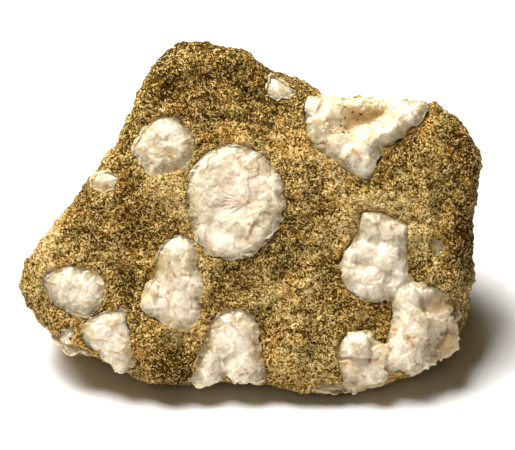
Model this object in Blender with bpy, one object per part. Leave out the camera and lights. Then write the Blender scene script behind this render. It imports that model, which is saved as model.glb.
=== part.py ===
"""Amygdaloidal basalt: a hand specimen of dark lava stone with white zeolite fillings.

The stone is one solid with a pocket for every filling. Each filling is a solid of its own, a
bowl of grown-together crystals that sits in its pocket. One hollow at the top edge is only
lined, by a crust of crystals. The stone lies on a flat base, and its broken face leans back.

Sizes are in millimetres. The broken face has its own directions: u to the right, v up the
face and w out of it, from the middle of the face.
"""
import math
import random
from dataclasses import dataclass, field

import bmesh
import bpy
import numpy as np
from mathutils import Matrix, Vector, noise
from mathutils.bvhtree import BVHTree

MM = 0.001
NAME = "amygdaloidal_basalt"

# How the stone lies: the broken face leans back, and its middle is at this place above the base
LEAN = math.radians(35.0)
FACE_HEIGHT = 33.2
FACE_RIGHT = -0.2
FACE_FORWARD = -11.3

# The stone's body
CORE = (0.0, -2.0, -20.0)
START_SHAPE = (45.0, 34.0, 26.0)
START_SPLITS = 6
STONE_TRIANGLES = 2100
FACE_DOME = 1.6
EDGE_ROUNDING = 5.0
CORNER_ROUNDING = 1.5
STRAIGHT_SIDE = 9.0
TAPER_LENGTH = 36.0
TAPER = 0.20
TAPER_CURVE = 1.4
REACH = 90.0
HALVINGS = 40
UNDERSIDE = 1.5
FLOOR_REACH = 200.0
FLOOR_THICK = 30.0

# Roughness of the broken surface: lumps, and scoops with ridges between them. The broken face
# has only a share of it, which grows to all of it behind the face's edge
LUMP_SIZE = 11.0
LUMP_HEIGHT = 1.6
LUMP_FALL = 0.85
LUMP_STEP = 2.2
LUMP_LAYERS = 4
SCOOP_SIZE = 13.0
SCOOP_DEPTH = 3.2
SCOOP_LEVEL = 0.25
FRONT_SHARE = 0.26
FRONT_DEPTH = 6.0
FRONT_FADE = 12.0
SEED = 11

# A filling: its bowl, as shares of its depth and of its rim's width, and the bed of crystals
GAP = 0.35
BOWL = ((0.84, 0.55), (0.42, 0.90), (0.0, 1.0))
LIFT = 7.0
FLARE = 1.12
BED_REACH = 1.3
BED_MIDDLE = 0.55
BED_UNDER = 2.0
BED_LIP = 0.1
EDGE_DROP = -0.4
BED_SHARE = -0.2
LOOK_FROM = 14.0

# A crystal: how far it goes down, its widths below and on top, and its lean and unevenness
CRYSTAL_BELOW = 3.0
CRYSTAL_WIDTHS = (0.60, 0.44)
CRYSTAL_SIDES = (4, 4, 5)
CRYSTAL_LEAN = 11.0
CRYSTAL_UNEVEN = 0.16

# Small crystals near the rim: their place, as a share of the way to it, and their size
SMALL_PLACE = (0.72, 0.86)
SMALL_SIZE = (0.8, 1.3)
SMALL_SHAPE = (0.8, 1.2)

# Clean-up: distances that tiny edges are welded at, flat enough to merge, triangles kept
WELDS = (0.04, 0.015, 0.004, 0.0)
FLAT = math.radians(1.5)
CRYSTAL_SHARE = 0.5

BASALT = (0.26, 0.18, 0.06)
ZEOLITE = (0.82, 0.74, 0.62)
CRUST = (0.72, 0.57, 0.38)
TINTED = (0.60, 0.47, 0.32)

# The broken face's edge, anticlockwise from the left tip
EDGE = [
    (-45.1, -13.9), (-43.6, -17.7), (-40.5, -21.6), (-36.6, -25.9), (-28.9, -28.1), (-25.4, -30.8),
    (-22.0, -32.2), (-18.1, -32.7), (-8.5, -32.6), (1.3, -32.6), (5.8, -33.7), (12.9, -34.7),
    (18.3, -35.3), (22.9, -33.5), (30.6, -31.2), (35.7, -29.3), (40.8, -26.8), (42.5, -24.7),
    (43.3, -20.2), (42.5, -14.6), (43.7, -4.8), (43.9, 0.4), (45.0, 8.7), (45.2, 11.8),
    (44.5, 14.5), (40.5, 18.7), (37.6, 21.6), (35.1, 22.3), (28.1, 22.0), (22.4, 22.9),
    (17.7, 22.6), (14.6, 23.2), (10.8, 25.4), (4.2, 27.9), (1.5, 30.1), (-1.2, 31.9),
    (-4.6, 32.6), (-8.5, 34.0), (-14.3, 34.2), (-17.3, 31.8), (-20.0, 27.6), (-24.7, 17.2),
    (-26.2, 13.9), (-29.3, 9.1), (-35.8, 1.5), (-41.8, -6.6), (-44.3, -10.6),
]

# Swells and dips of the broken face: u, v, radius, height
SWELLS = [
    (-18.0, -25.0, 6.5, 2.2),
    (-6.0, 27.0, 7.0, 0.8),
    (12.0, 3.0, 8.0, 0.6),
    (-26.0, 4.0, 6.0, 0.7),
    (10.0, -24.0, 7.0, 0.5),
    (36.0, 6.0, 6.0, 0.6),
    (-22.0, -8.0, 5.0, -0.6),
    (0.0, -14.0, 5.0, -0.5),
]

# Breaks on the hidden sides: direction as right, back and up, and distance from the face's middle
BREAKS = [
    ((0.10, 0.95, 0.28), 34.0),
    ((-0.72, 0.66, 0.20), 40.0),
    ((0.70, 0.70, 0.10), 46.0),
    ((0.15, 0.62, 0.77), 35.5),
    ((-0.30, 0.80, -0.40), 38.0),
    ((0.805, 0.131, -0.578), 51.0),
    ((0.90, 0.30, 0.35), 50.0),
]

# The break down the lower right of the face: a point on it and its outward direction, in u, v, w
CORNER_BREAK = ((38.6, -14.1, -1.2), (0.805, -0.312, 0.505))


@dataclass(frozen=True)
class Filling:
    """A filled gas bubble: its rim, its depth and the crystals that show in it."""

    name: str
    middle: tuple
    rim: list
    depth: float
    blocks: list = field(default_factory=list)
    small: int = 5
    small_size: float = 2.4
    rise: float = 0.5
    bed: float = -0.5
    colour: tuple = ZEOLITE


# Blocks in a filling: u, v, width, height, turn in degrees, rise above the stone
FACE_FILLINGS = [
    Filling(
        "amygdale_centre", (-2.8, 2.6),
        [
            (-11.8, 2.9), (-11.8, 5.8), (-10.8, 8.7), (-9.1, 11.2), (-6.7, 12.9), (-4.2, 13.8),
            (-0.6, 13.1), (2.3, 11.9), (4.4, 9.1), (5.8, 5.6), (6.1, 1.9), (5.6, -1.3),
            (3.9, -4.0), (1.5, -6.6), (-1.2, -8.1), (-5.4, -8.1), (-8.1, -7.7), (-9.5, -5.4),
            (-11.2, -1.9),
        ],
        7.5,
        [
            (-6.5, 10.4, 4.6, 4.4, 20, 0.7), (-2.4, 11.4, 3.8, 3.6, -10, 0.9),
            (1.8, 9.3, 4.0, 4.2, -30, 0.6), (3.9, 5.4, 3.6, 4.0, 5, 0.8),
            (4.3, 1.2, 3.4, 4.2, 0, 0.5), (2.9, -2.6, 3.8, 3.6, 30, 0.9),
            (-0.3, -5.6, 4.4, 3.8, 12, 1.0), (-4.6, -6.0, 4.2, 3.4, -8, 0.7),
            (-8.2, -4.4, 3.6, 3.8, 25, 0.4), (-9.9, -0.6, 3.0, 3.8, 8, 0.7),
            (-10.2, 3.6, 3.0, 4.2, -5, 0.5), (-9.2, 7.6, 3.6, 3.8, -28, 0.8),
            (-6.7, 3.6, 3.4, 2.0, -4, 0.5), (-6.6, 5.6, 3.4, 1.6, -22, 0.7),
            (-5.2, 7.4, 2.6, 3.0, 35, 0.9), (-2.2, 7.6, 2.8, 3.4, 10, 1.0),
            (-2.8, 3.4, 3.6, 3.4, 15, 0.8), (0.4, 5.2, 3.4, 3.6, -12, 1.1),
            (0.6, 1.4, 3.4, 3.4, 30, 0.9), (-5.0, -1.2, 3.6, 2.6, 20, 0.6),
            (-1.6, -1.8, 3.8, 3.2, -20, 1.1),
        ],
        small=5, bed=-1.0,
    ),
    Filling(
        "amygdale_upper_left", (-16.4, 13.1),
        [
            (-22.4, 12.9), (-21.0, 14.5), (-20.6, 16.0), (-18.5, 18.1), (-16.2, 19.1),
            (-14.3, 18.1), (-12.1, 16.0), (-10.9, 14.6), (-11.3, 12.1), (-12.3, 9.6),
            (-13.9, 8.7), (-16.4, 8.1), (-18.7, 7.6), (-20.0, 9.1), (-20.8, 10.8), (-22.4, 11.9),
        ],
        5.0,
        [
            (-16.4, 15.9, 4.2, 4.0, 15, 1.0), (-19.4, 14.4, 3.0, 3.4, 25, 0.5),
            (-13.2, 14.2, 3.2, 4.2, -20, 0.5), (-19.0, 10.6, 3.8, 3.4, 10, 0.8),
            (-15.6, 11.2, 3.6, 3.2, 30, 0.7), (-13.3, 10.6, 2.6, 2.8, -10, 0.4),
        ],
        small=4,
    ),
    Filling(
        "amygdale_left_edge", (-28.8, 6.6),
        [
            (-31.4, 6.5), (-29.5, 8.3), (-27.7, 7.9), (-26.2, 7.1), (-26.8, 5.2), (-27.7, 4.8),
            (-29.7, 5.5),
        ],
        2.6, small=4, small_size=1.7, rise=0.3,
    ),
    Filling(
        "amygdale_left", (-33.5, -14.5),
        [
            (-40.3, -12.3), (-38.2, -10.8), (-34.7, -10.0), (-32.0, -10.4), (-29.9, -11.6),
            (-28.5, -12.7), (-28.5, -14.8), (-29.5, -17.7), (-31.0, -19.3), (-33.1, -19.3),
            (-35.5, -18.0), (-38.0, -16.6), (-39.5, -14.5),
        ],
        4.8,
        [
            (-36.6, -13.0, 5.0, 4.0, 12, 1.0), (-31.2, -13.6, 4.2, 4.4, -15, 0.9),
            (-32.6, -16.8, 4.4, 3.8, 20, 0.6), (-34.2, -12.0, 3.0, 3.0, 40, 0.5),
        ],
        small=4,
    ),
    Filling(
        "amygdale_lower_left", (-27.4, -24.1),
        [
            (-32.4, -22.9), (-31.2, -20.8), (-29.3, -19.5), (-27.0, -18.9), (-24.5, -18.5),
            (-24.3, -21.4), (-23.3, -25.1), (-23.1, -28.5), (-24.3, -30.4), (-25.6, -30.4),
            (-27.4, -28.7), (-28.3, -26.9), (-30.4, -25.6), (-32.0, -24.5),
        ],
        4.6,
        [
            (-29.2, -22.8, 5.2, 4.8, 10, 1.1), (-25.7, -20.6, 3.0, 3.0, 0, 0.4),
            (-26.0, -25.6, 4.4, 4.4, -20, 0.8), (-25.1, -28.8, 2.8, 2.6, 10, 0.5),
        ],
        small=4,
    ),
    Filling(
        "amygdale_lower_left_small", (-35.2, -23.0),
        [
            (-36.8, -22.8), (-35.6, -21.5), (-34.2, -22.0), (-33.9, -23.7), (-35.1, -24.6),
            (-36.4, -24.0),
        ],
        2.0, small=3, small_size=1.4, rise=0.2, colour=TINTED,
    ),
    Filling(
        "amygdale_middle", (-14.4, -13.3),
        [
            (-17.2, -7.1), (-15.8, -5.0), (-13.5, -4.0), (-11.8, -4.9), (-10.8, -6.7),
            (-10.4, -9.4), (-10.2, -11.0), (-9.1, -13.1), (-9.4, -15.2), (-10.6, -16.4),
            (-9.6, -18.7), (-10.4, -20.6), (-12.1, -22.2), (-14.3, -22.0), (-16.2, -20.8),
            (-17.9, -19.8), (-20.2, -18.7), (-20.6, -16.8), (-19.3, -13.9), (-17.9, -11.8),
            (-17.7, -9.1),
        ],
        5.4,
        [
            (-13.6, -8.0, 5.6, 5.8, 20, 1.1), (-18.6, -17.0, 3.6, 3.4, 15, 1.0),
            (-12.8, -18.2, 5.0, 5.2, -12, 0.8), (-14.6, -13.0, 4.6, 4.0, 30, 0.7),
            (-10.9, -13.4, 2.8, 3.2, 0, 0.5), (-16.2, -15.6, 3.0, 3.0, -25, 0.5),
        ],
        small=5,
    ),
    Filling(
        "amygdale_bottom", (-3.9, -25.0),
        [
            (-7.1, -20.8), (-5.4, -19.5), (-3.1, -18.5), (-1.3, -18.7), (0.0, -19.7), (1.3, -21.6),
            (1.5, -25.1), (2.1, -28.3), (3.1, -32.4), (1.0, -32.9), (-1.9, -32.9), (-3.5, -31.5),
            (-4.6, -31.4), (-5.8, -30.8), (-7.3, -32.6), (-8.9, -33.5), (-10.6, -33.3),
            (-12.3, -32.4), (-10.2, -29.9), (-8.9, -26.4), (-8.3, -23.3),
        ],
        5.0,
        [
            (-8.3, -27.4, 3.4, 8.0, -14, 0.9), (-9.6, -31.8, 3.6, 2.8, -8, 1.0),
            (-2.4, -23.4, 6.2, 6.4, 8, 1.1), (-0.9, -30.0, 6.2, 4.6, 3, 1.2),
            (-4.4, -20.6, 4.4, 3.0, 15, 0.6), (-0.4, -26.6, 3.6, 3.6, -15, 0.8),
        ],
        small=5, bed=-1.4,
    ),
    Filling(
        "amygdale_small_right", (36.2, -6.0),
        [(34.7, -5.2), (35.8, -4.4), (37.4, -5.4), (37.6, -7.1), (36.2, -7.5), (35.1, -6.4)],
        2.0, small=3, small_size=1.4, rise=0.2, colour=TINTED,
    ),
    Filling(
        "amygdale_top_edge", (5.6, 24.6),
        [
            (3.9, 27.2), (5.3, 26.8), (6.7, 24.9), (8.9, 23.9), (7.7, 22.9), (5.4, 22.5),
            (3.9, 23.1), (3.7, 25.1),
        ],
        2.4, small=4, small_size=1.8, rise=0.3,
    ),
]

# Three bubbles that ran together at the lower right, so their crystals are one solid
LOWER_RIGHT = [
    Filling(
        "right", (24.3, -8.3),
        [
            (21.4, 0.6), (24.1, 0.9), (27.4, -0.2), (30.1, -1.9), (30.4, -5.8), (30.3, -8.7),
            (29.9, -10.6), (31.0, -13.4), (30.2, -15.4), (28.3, -15.6), (27.0, -16.2),
            (24.7, -16.6), (22.2, -16.0), (19.7, -15.0), (18.1, -12.5), (17.5, -9.1),
            (19.1, -5.8), (20.8, -3.3),
        ],
        6.0,
        [
            (23.6, -2.0, 4.6, 4.2, 10, 0.7), (27.4, -3.6, 4.8, 4.6, -18, 1.0),
            (21.6, -6.6, 4.2, 4.6, 12, 0.6), (26.2, -8.2, 5.0, 4.8, 25, 1.2),
            (20.2, -11.2, 4.0, 4.0, -10, 0.4), (24.0, -12.2, 4.8, 4.4, 15, 0.9),
            (28.4, -11.0, 3.6, 4.0, -25, 0.6), (28.2, -14.2, 3.8, 3.0, 10, 0.5),
            (23.0, -14.9, 4.2, 2.6, -5, 0.4),
        ],
        small=5,
    ),
    Filling(
        "corner", (33.7, -22.2),
        [
            (28.7, -12.9), (31.0, -12.9), (33.5, -13.3), (36.2, -14.1), (38.0, -16.0),
            (39.1, -18.7), (40.1, -21.2), (40.9, -23.5), (40.7, -25.4), (38.5, -27.9),
            (35.6, -29.3), (32.8, -31.0), (30.6, -31.3), (28.5, -30.3), (26.6, -30.1),
            (26.0, -27.6), (26.6, -25.1), (27.2, -22.2), (28.1, -18.7), (28.4, -16.0),
        ],
        5.6,
        [
            (31.4, -21.8, 6.8, 11.0, -10, 2.0), (33.0, -15.0, 5.0, 2.8, -8, 0.5),
            (30.0, -26.4, 5.4, 5.0, 20, 1.6), (37.2, -19.4, 3.6, 4.6, -15, 0.5),
            (38.6, -25.0, 4.0, 4.4, 20, 0.3), (34.6, -28.6, 5.0, 3.0, -20, 0.6),
            (30.6, -29.8, 4.4, 2.6, -10, 0.5), (29.6, -16.6, 3.4, 3.8, -20, 1.0),
        ],
        small=5,
    ),
    Filling(
        "foot", (22.0, -29.1),
        [
            (18.3, -23.5), (21.4, -22.7), (23.3, -23.3), (24.5, -24.7), (26.2, -25.8),
            (29.4, -25.8), (30.2, -28.0), (28.8, -30.0), (26.6, -31.0), (25.8, -33.1),
            (22.7, -33.7), (20.2, -35.1), (17.7, -35.2), (18.3, -31.8), (17.5, -29.1),
            (17.2, -25.8),
        ],
        4.6,
        [
            (20.6, -25.4, 5.4, 4.4, 4, 2.2), (19.9, -29.6, 4.0, 3.4, 10, 0.8),
            (24.3, -30.3, 4.4, 4.6, 20, 1.2), (20.6, -33.3, 5.0, 2.4, -6, 0.4),
            (25.2, -26.9, 3.4, 3.4, 30, 0.5), (22.9, -27.6, 3.0, 2.6, -15, 0.5),
        ],
        small=4,
    ),
]

VUG = Filling(
    "vug_crust", (18.9, 16.4),
    [
        (11.8, 22.6), (15.4, 22.9), (17.5, 22.8), (19.3, 22.4), (22.4, 22.9), (27.7, 22.0),
        (30.4, 22.4), (35.1, 22.4), (34.7, 20.2), (32.8, 18.1), (30.4, 16.6), (28.5, 14.5),
        (24.5, 13.3), (25.2, 11.2), (23.7, 9.4), (23.2, 7.3), (20.4, 8.3), (18.1, 9.4),
        (15.4, 11.0), (13.1, 12.7), (11.2, 15.6), (10.8, 19.8),
    ],
    6.6,
    [
        (16.4, 20.4, 3.6, 3.6, 15, 0.7), (13.6, 17.4, 3.6, 5.0, 5, 0.6),
        (15.6, 13.4, 4.4, 3.6, -30, 0.5), (19.8, 11.4, 4.4, 3.8, 10, 0.7),
        (22.6, 13.8, 3.2, 3.6, -15, 0.5), (23.0, 9.6, 2.8, 3.4, 20, 0.4),
        (30.2, 18.6, 4.4, 3.6, 30, 0.6), (32.8, 20.8, 3.2, 2.6, 10, 0.4),
        (26.4, 15.4, 3.6, 2.6, 28, 0.6), (22.6, 22.0, 3.8, 1.6, 0, 0.2),
    ],
    small=5, colour=CRUST,
)
HOLLOW_RIM = [
    (18.9, 21.4), (27.7, 21.0), (27.0, 18.7), (23.5, 16.8), (20.4, 15.8), (17.3, 15.6),
    (17.9, 17.9), (18.5, 19.8),
]
HOLLOW_MIDDLE = (22.2, 18.8)
HOLLOW_DEPTH = 4.2


@dataclass(frozen=True)
class SideFilling:
    """A filling beside or behind the broken face, found by a direction from the core."""

    name: str
    toward: tuple
    width: float
    height: float
    turn: float
    colour: tuple = ZEOLITE


# Direction as right, back and up; width, height and turn of the rim
SIDE_FILLINGS = [
    SideFilling("amygdale_right_edge", (43.2, -22.5, -7.7), 2.6, 2.2, 0),
    SideFilling("amygdale_under_front", (15.0, -31.9, -15.9), 6.0, 2.2, 0, TINTED),
    SideFilling("amygdale_under_left", (-34.0, -26.6, -10.2), 8.4, 2.8, -18, TINTED),
    SideFilling("amygdale_right_side_front", (1.0, -0.02, 0.02), 10.0, 7.0, 20),
    SideFilling("amygdale_right_side_back", (0.86, 0.52, 0.16), 13.0, 10.0, -35),
    SideFilling("amygdale_right_side_low", (0.90, 0.42, -0.36), 5.0, 4.2, 0),
    SideFilling("amygdale_back_centre", (0.10, 1.0, 0.08), 15.0, 11.0, 25),
    SideFilling("amygdale_back_left", (-0.52, 0.86, -0.20), 9.0, 8.0, 0),
    SideFilling("amygdale_back_right", (0.50, 0.90, -0.42), 7.0, 9.0, 10),
    SideFilling("amygdale_left_side", (-0.94, 0.30, 0.12), 9.0, 6.5, -20),
    SideFilling("amygdale_back_top", (-0.25, 0.66, 0.72), 9.0, 7.0, 35),
    SideFilling("amygdale_top_right", (0.56, 0.42, 0.62), 6.5, 5.0, 15),
]

# A side filling: its wavy rim, its depth as a share of its size, and its crystals, the larger
# ones set round its middle by a fixed turn
SIDE_POINTS = 11
SIDE_WAVE = 0.16
SIDE_WAVES = (2, 3, 5)
SIDE_DEPTH = 0.42
SIDE_LEAST_DEPTH = 2.0
SIDE_LARGE = 6.0
SIDE_BLOCKS = 3
SIDE_BLOCK_SIZE = (0.42, 0.38)
SIDE_BLOCK_PLACE = 0.208
SIDE_BLOCK_TURN = 2.4
SIDE_BLOCK_RISE = (0.1, 0.6)
SIDE_SMALL = (3, 2)
SIDE_SMALL_SIZE = 0.36
SIDE_LEAST_SMALL = 1.4

BASALT_ROUGHNESS = 0.85
CRYSTAL_ROUGHNESS = 0.3


def clear_scene():
    """Remove every object, so that only the specimen is left."""
    for item in list(bpy.data.objects):
        bpy.data.objects.remove(item, do_unlink=True)


def new_collection(name):
    """Return a new collection linked to the scene."""
    collection = bpy.data.collections.new(name)
    bpy.context.scene.collection.children.link(collection)
    return collection


def face_frame():
    """Return the matrix from the broken face's u, v, w in millimetres to the world."""
    lean_sin = math.sin(LEAN)
    lean_cos = math.cos(LEAN)
    turn = Matrix((
        (1.0, 0.0, 0.0, 0.0),
        (0.0, lean_sin, -lean_cos, 0.0),
        (0.0, lean_cos, lean_sin, 0.0),
        (0.0, 0.0, 0.0, 1.0),
    ))
    middle = Matrix.Translation(Vector((FACE_RIGHT, FACE_FORWARD, FACE_HEIGHT)) * MM)
    return middle @ Matrix.Scale(MM, 4) @ turn


def to_face_direction(direction):
    """Turn a direction given as right, back and up into u, v, w."""
    right, back, up = direction
    lean_sin = math.sin(LEAN)
    lean_cos = math.cos(LEAN)
    return np.array((right, back * lean_sin + up * lean_cos, up * lean_sin - back * lean_cos))


def smooth_max(first, second, rounding):
    """Return the larger of two distances, rounded where they meet."""
    overlap = np.maximum(rounding - np.abs(first - second), 0.0) / rounding
    return np.maximum(first, second) + overlap * overlap * rounding * 0.25


def edge_radius(angle):
    """Return how far the face's edge lies from its middle in each direction."""
    corners = np.array(EDGE) - np.array(CORE[:2])
    bearings = np.arctan2(corners[:, 1], corners[:, 0])
    order = np.argsort(bearings)
    corners = corners[order]
    bearings = bearings[order]
    after = np.searchsorted(bearings, angle) % len(corners)
    start = corners[after - 1]
    end = corners[after]
    side = end - start
    way = np.stack((np.cos(angle), np.sin(angle)), axis=1)
    across = start[:, 0] * side[:, 1] - start[:, 1] * side[:, 0]
    return across / (way[:, 0] * side[:, 1] - way[:, 1] * side[:, 0])


def face_height(u, v):
    """Return how far the broken face stands out at u, v, before its fine roughness."""
    height = -FACE_DOME * ((u / START_SHAPE[0]) ** 2 + (v / START_SHAPE[1]) ** 2)
    for swell_u, swell_v, radius, rise in SWELLS:
        height += rise * np.exp(-((u - swell_u) ** 2 + (v - swell_v) ** 2) / radius**2)
    return height


def stone_distance(points):
    """Return a distance that is negative inside the stone, for points in u, v, w."""
    u, v, w = points.T
    beside = np.hypot(u - CORE[0], v - CORE[1])
    depth = np.clip((-w - STRAIGHT_SIDE) / TAPER_LENGTH, 0.0, 1.2)
    edge = edge_radius(np.arctan2(v - CORE[1], u - CORE[0]))
    side = beside - edge * (1.0 - TAPER * depth**TAPER_CURVE)
    surface = smooth_max(side, w - face_height(u, v), EDGE_ROUNDING)
    for direction, reach in BREAKS:
        outward = to_face_direction(direction)
        outward = outward / np.linalg.norm(outward)
        surface = smooth_max(surface, points @ outward - reach, EDGE_ROUNDING)
    at, outward = CORNER_BREAK
    corner = (points - np.array(at)) @ np.array(outward)
    surface = smooth_max(surface, corner, CORNER_ROUNDING)
    below = points @ -to_face_direction((0.0, 0.0, 1.0)) - (FACE_HEIGHT + UNDERSIDE)
    return np.maximum(surface, below)


def roughness(point):
    """Return the height of the lumps and scoops of the broken surface at a point."""
    place = Vector(point) / LUMP_SIZE + Vector((SEED, SEED, SEED))
    lumps = noise.fractal(place, LUMP_FALL, LUMP_STEP, LUMP_LAYERS)
    nearest = noise.voronoi(Vector(point) / SCOOP_SIZE + Vector((SEED, 0.0, 0.0)))[0][0]
    behind = min(max((-point[2] - FRONT_DEPTH) / FRONT_FADE, 0.0), 1.0)
    share = FRONT_SHARE + (1.0 - FRONT_SHARE) * behind
    return share * (LUMP_HEIGHT * lumps + SCOOP_DEPTH * (nearest * nearest - SCOOP_LEVEL))


def slide_to_surface(ways):
    """Return the points where rays from the core leave the stone."""
    core = np.array(CORE)
    near = np.zeros(len(ways))
    far = np.full(len(ways), REACH)
    for _ in range(HALVINGS):
        middle = (near + far) / 2
        inside = stone_distance(core + ways * middle[:, None]) < 0.0
        near = np.where(inside, middle, near)
        far = np.where(inside, far, middle)
    points = core + ways * near[:, None]
    lifts = np.array([roughness(point) for point in points])
    return points + ways * lifts[:, None]


def new_object(name, bm, collection):
    """Turn a bmesh into an object in a collection and free the bmesh."""
    mesh = bpy.data.meshes.new(name)
    bm.to_mesh(mesh)
    bm.free()
    item = bpy.data.objects.new(name, mesh)
    collection.objects.link(item)
    return item


def evaluate(item):
    """Replace an object's mesh by the result of its modifiers."""
    graph = bpy.context.evaluated_depsgraph_get()
    mesh = bpy.data.meshes.new_from_object(item.evaluated_get(graph))
    item.modifiers.clear()
    old = item.data
    item.data = mesh
    bpy.data.meshes.remove(old)


def combine(item, other, operation):
    """Join, cut or intersect an object with another one."""
    boolean = item.modifiers.new(operation.lower(), "BOOLEAN")
    boolean.operation = operation
    boolean.solver = "EXACT"
    boolean.object = other
    evaluate(item)


def drop(item):
    """Remove an object that is no longer needed, with its mesh."""
    mesh = item.data
    bpy.data.objects.remove(item, do_unlink=True)
    bpy.data.meshes.remove(mesh)


def closed(bm):
    """Tell whether a bmesh is one closed surface without stray parts."""
    sealed = all(len(edge.link_faces) == 2 for edge in bm.edges)
    return sealed and all(vert.link_faces for vert in bm.verts)


def drop_crumbs(bm):
    """Delete the loose bodies beside the main one, which a cut can leave at a thin edge."""
    bodies = []
    waiting = set(bm.faces)
    while waiting:
        grown = [waiting.pop()]
        for face in grown:
            near = {other for edge in face.edges for other in edge.link_faces} & waiting
            waiting -= near
            grown.extend(near)
        bodies.append(grown)
    bodies.sort(key=len)
    crumbs = [face for body in bodies[:-1] for face in body]
    bmesh.ops.delete(bm, geom=crumbs, context="FACES")


def tidy(item):
    """Weld the tiny edges that cuts leave behind, as far as the surface stays closed."""
    for weld in WELDS:
        bm = bmesh.new()
        bm.from_mesh(item.data)
        bmesh.ops.remove_doubles(bm, verts=bm.verts, dist=weld * MM)
        bmesh.ops.dissolve_degenerate(bm, edges=bm.edges, dist=weld * MM)
        bmesh.ops.dissolve_limit(bm, angle_limit=FLAT, verts=bm.verts, edges=bm.edges)
        bmesh.ops.triangulate(bm, faces=bm.faces)
        bmesh.ops.recalc_face_normals(bm, faces=bm.faces)
        drop_crumbs(bm)
        done = closed(bm)
        if done:
            bm.to_mesh(item.data)
        bm.free()
        if done:
            return


def thin_out(item, share):
    """Keep a share of an object's triangles, the ones that its shape needs most."""
    decimate = item.modifiers.new("thin", "DECIMATE")
    decimate.ratio = share
    evaluate(item)


def material(name, colour, dullness):
    """Return a plain stone-like material."""
    result = bpy.data.materials.new(name)
    result.use_nodes = True
    shader = result.node_tree.nodes["Principled BSDF"]
    shader.inputs["Base Color"].default_value = (*colour, 1.0)
    shader.inputs["Roughness"].default_value = dullness
    shader.inputs["Metallic"].default_value = 0.0
    return result


def build_stone(collection, cutters):
    """Make the basalt without its pockets, lying on a flat base."""
    bm = bmesh.new()
    bmesh.ops.create_icosphere(bm, subdivisions=START_SPLITS, radius=1.0)
    ways = np.array([vert.co for vert in bm.verts]) * np.array(START_SHAPE)
    ways /= np.linalg.norm(ways, axis=1)[:, None]
    frame = face_frame()
    for vert, point in zip(bm.verts, slide_to_surface(ways)):
        vert.co = frame @ Vector(point)
    stone = new_object("basalt_matrix", bm, collection)
    thin_out(stone, STONE_TRIANGLES / len(stone.data.polygons))
    combine(stone, floor_block(cutters), "DIFFERENCE")
    stone.data.materials.clear()
    stone.data.materials.append(material("basalt", BASALT, BASALT_ROUGHNESS))
    return stone


def floor_block(cutters):
    """Make the block below the base's height that the stone's underside is cut off with."""
    bm = bmesh.new()
    bmesh.ops.create_cube(bm, size=1.0)
    size = Vector((FLOOR_REACH, FLOOR_REACH, FLOOR_THICK)) * MM
    bmesh.ops.scale(bm, vec=size, verts=bm.verts)
    bmesh.ops.translate(bm, vec=Vector((0.0, 0.0, -size.z / 2)), verts=bm.verts)
    block = new_object("stone_floor", bm, cutters)
    hide(block)
    return block


def hide(item):
    """Mark an object as a cutter."""
    item.hide_render = True
    item.display_type = "WIRE"


def widened(rim, amount):
    """Return the rim moved outward by an amount, in millimetres."""
    count = len(rim)
    result = []
    for index in range(count):
        before = rim[index - 1]
        here = rim[index]
        after = rim[(index + 1) % count]
        side_in = (here - before).normalized()
        side_out = (after - here).normalized()
        outward = Vector((side_in.y + side_out.y, -side_in.x - side_out.x)).normalized()
        square = max(outward.dot(Vector((side_in.y, -side_in.x))), 0.5)
        result.append(here + outward * (amount / square))
    return result


def ring(bm, frame, rim, width, level):
    """Add the rim's points, made wider or narrower, at a level of a filling's frame."""
    return [bm.verts.new(frame @ Vector((p.x * width, p.y * width, level))) for p in rim]


def bowl(name, frame, rim, depth, lift, flare, collection):
    """Make the solid under a rim: a rounded bowl below it and a straight collar above it."""
    bm = bmesh.new()
    rings = [ring(bm, frame, rim, width, -depth * down) for down, width in BOWL]
    rings.append(ring(bm, frame, rim, flare, lift))
    lowest = bm.verts.new(frame @ Vector((0.0, 0.0, -depth)))
    highest = bm.verts.new(frame @ Vector((0.0, 0.0, lift)))
    count = len(rim)
    for index in range(count):
        after = (index + 1) % count
        bm.faces.new((lowest, rings[0][after], rings[0][index]))
        for low, high in zip(rings, rings[1:]):
            bm.faces.new((low[index], low[after], high[after], high[index]))
        bm.faces.new((highest, rings[-1][index], rings[-1][after]))
    bmesh.ops.triangulate(bm, faces=bm.faces)
    bmesh.ops.recalc_face_normals(bm, faces=bm.faces)
    return new_object(name, bm, collection)


class Ground:
    """The stone's surface, seen along a filling's axis."""

    def __init__(self, stone):
        self.tree = BVHTree.FromObject(stone, bpy.context.evaluated_depsgraph_get())

    def height(self, frame, x, y, lowest):
        """Return the surface's height at x, y in a filling's frame, in millimetres."""
        start = frame @ Vector((x, y, LOOK_FROM))
        way = (frame.to_3x3() @ Vector((0.0, 0.0, -1.0))).normalized()
        hit, _, _, distance = self.tree.ray_cast(start, way)
        if hit is None:
            return lowest
        return max(LOOK_FROM - distance / MM, lowest)

    def frame_toward(self, core, direction):
        """Return the frame on the surface where a ray from the core leaves the stone."""
        hit, normal, _, _ = self.tree.ray_cast(core + direction * REACH * MM, -direction)
        out = (normal + direction).normalized()
        up = Vector((0.0, 0.0, 1.0))
        right = up.cross(out).normalized()
        turn = Matrix((right, out.cross(right), out)).transposed().to_4x4()
        return Matrix.Translation(hit) @ turn @ Matrix.Scale(MM, 4)


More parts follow.
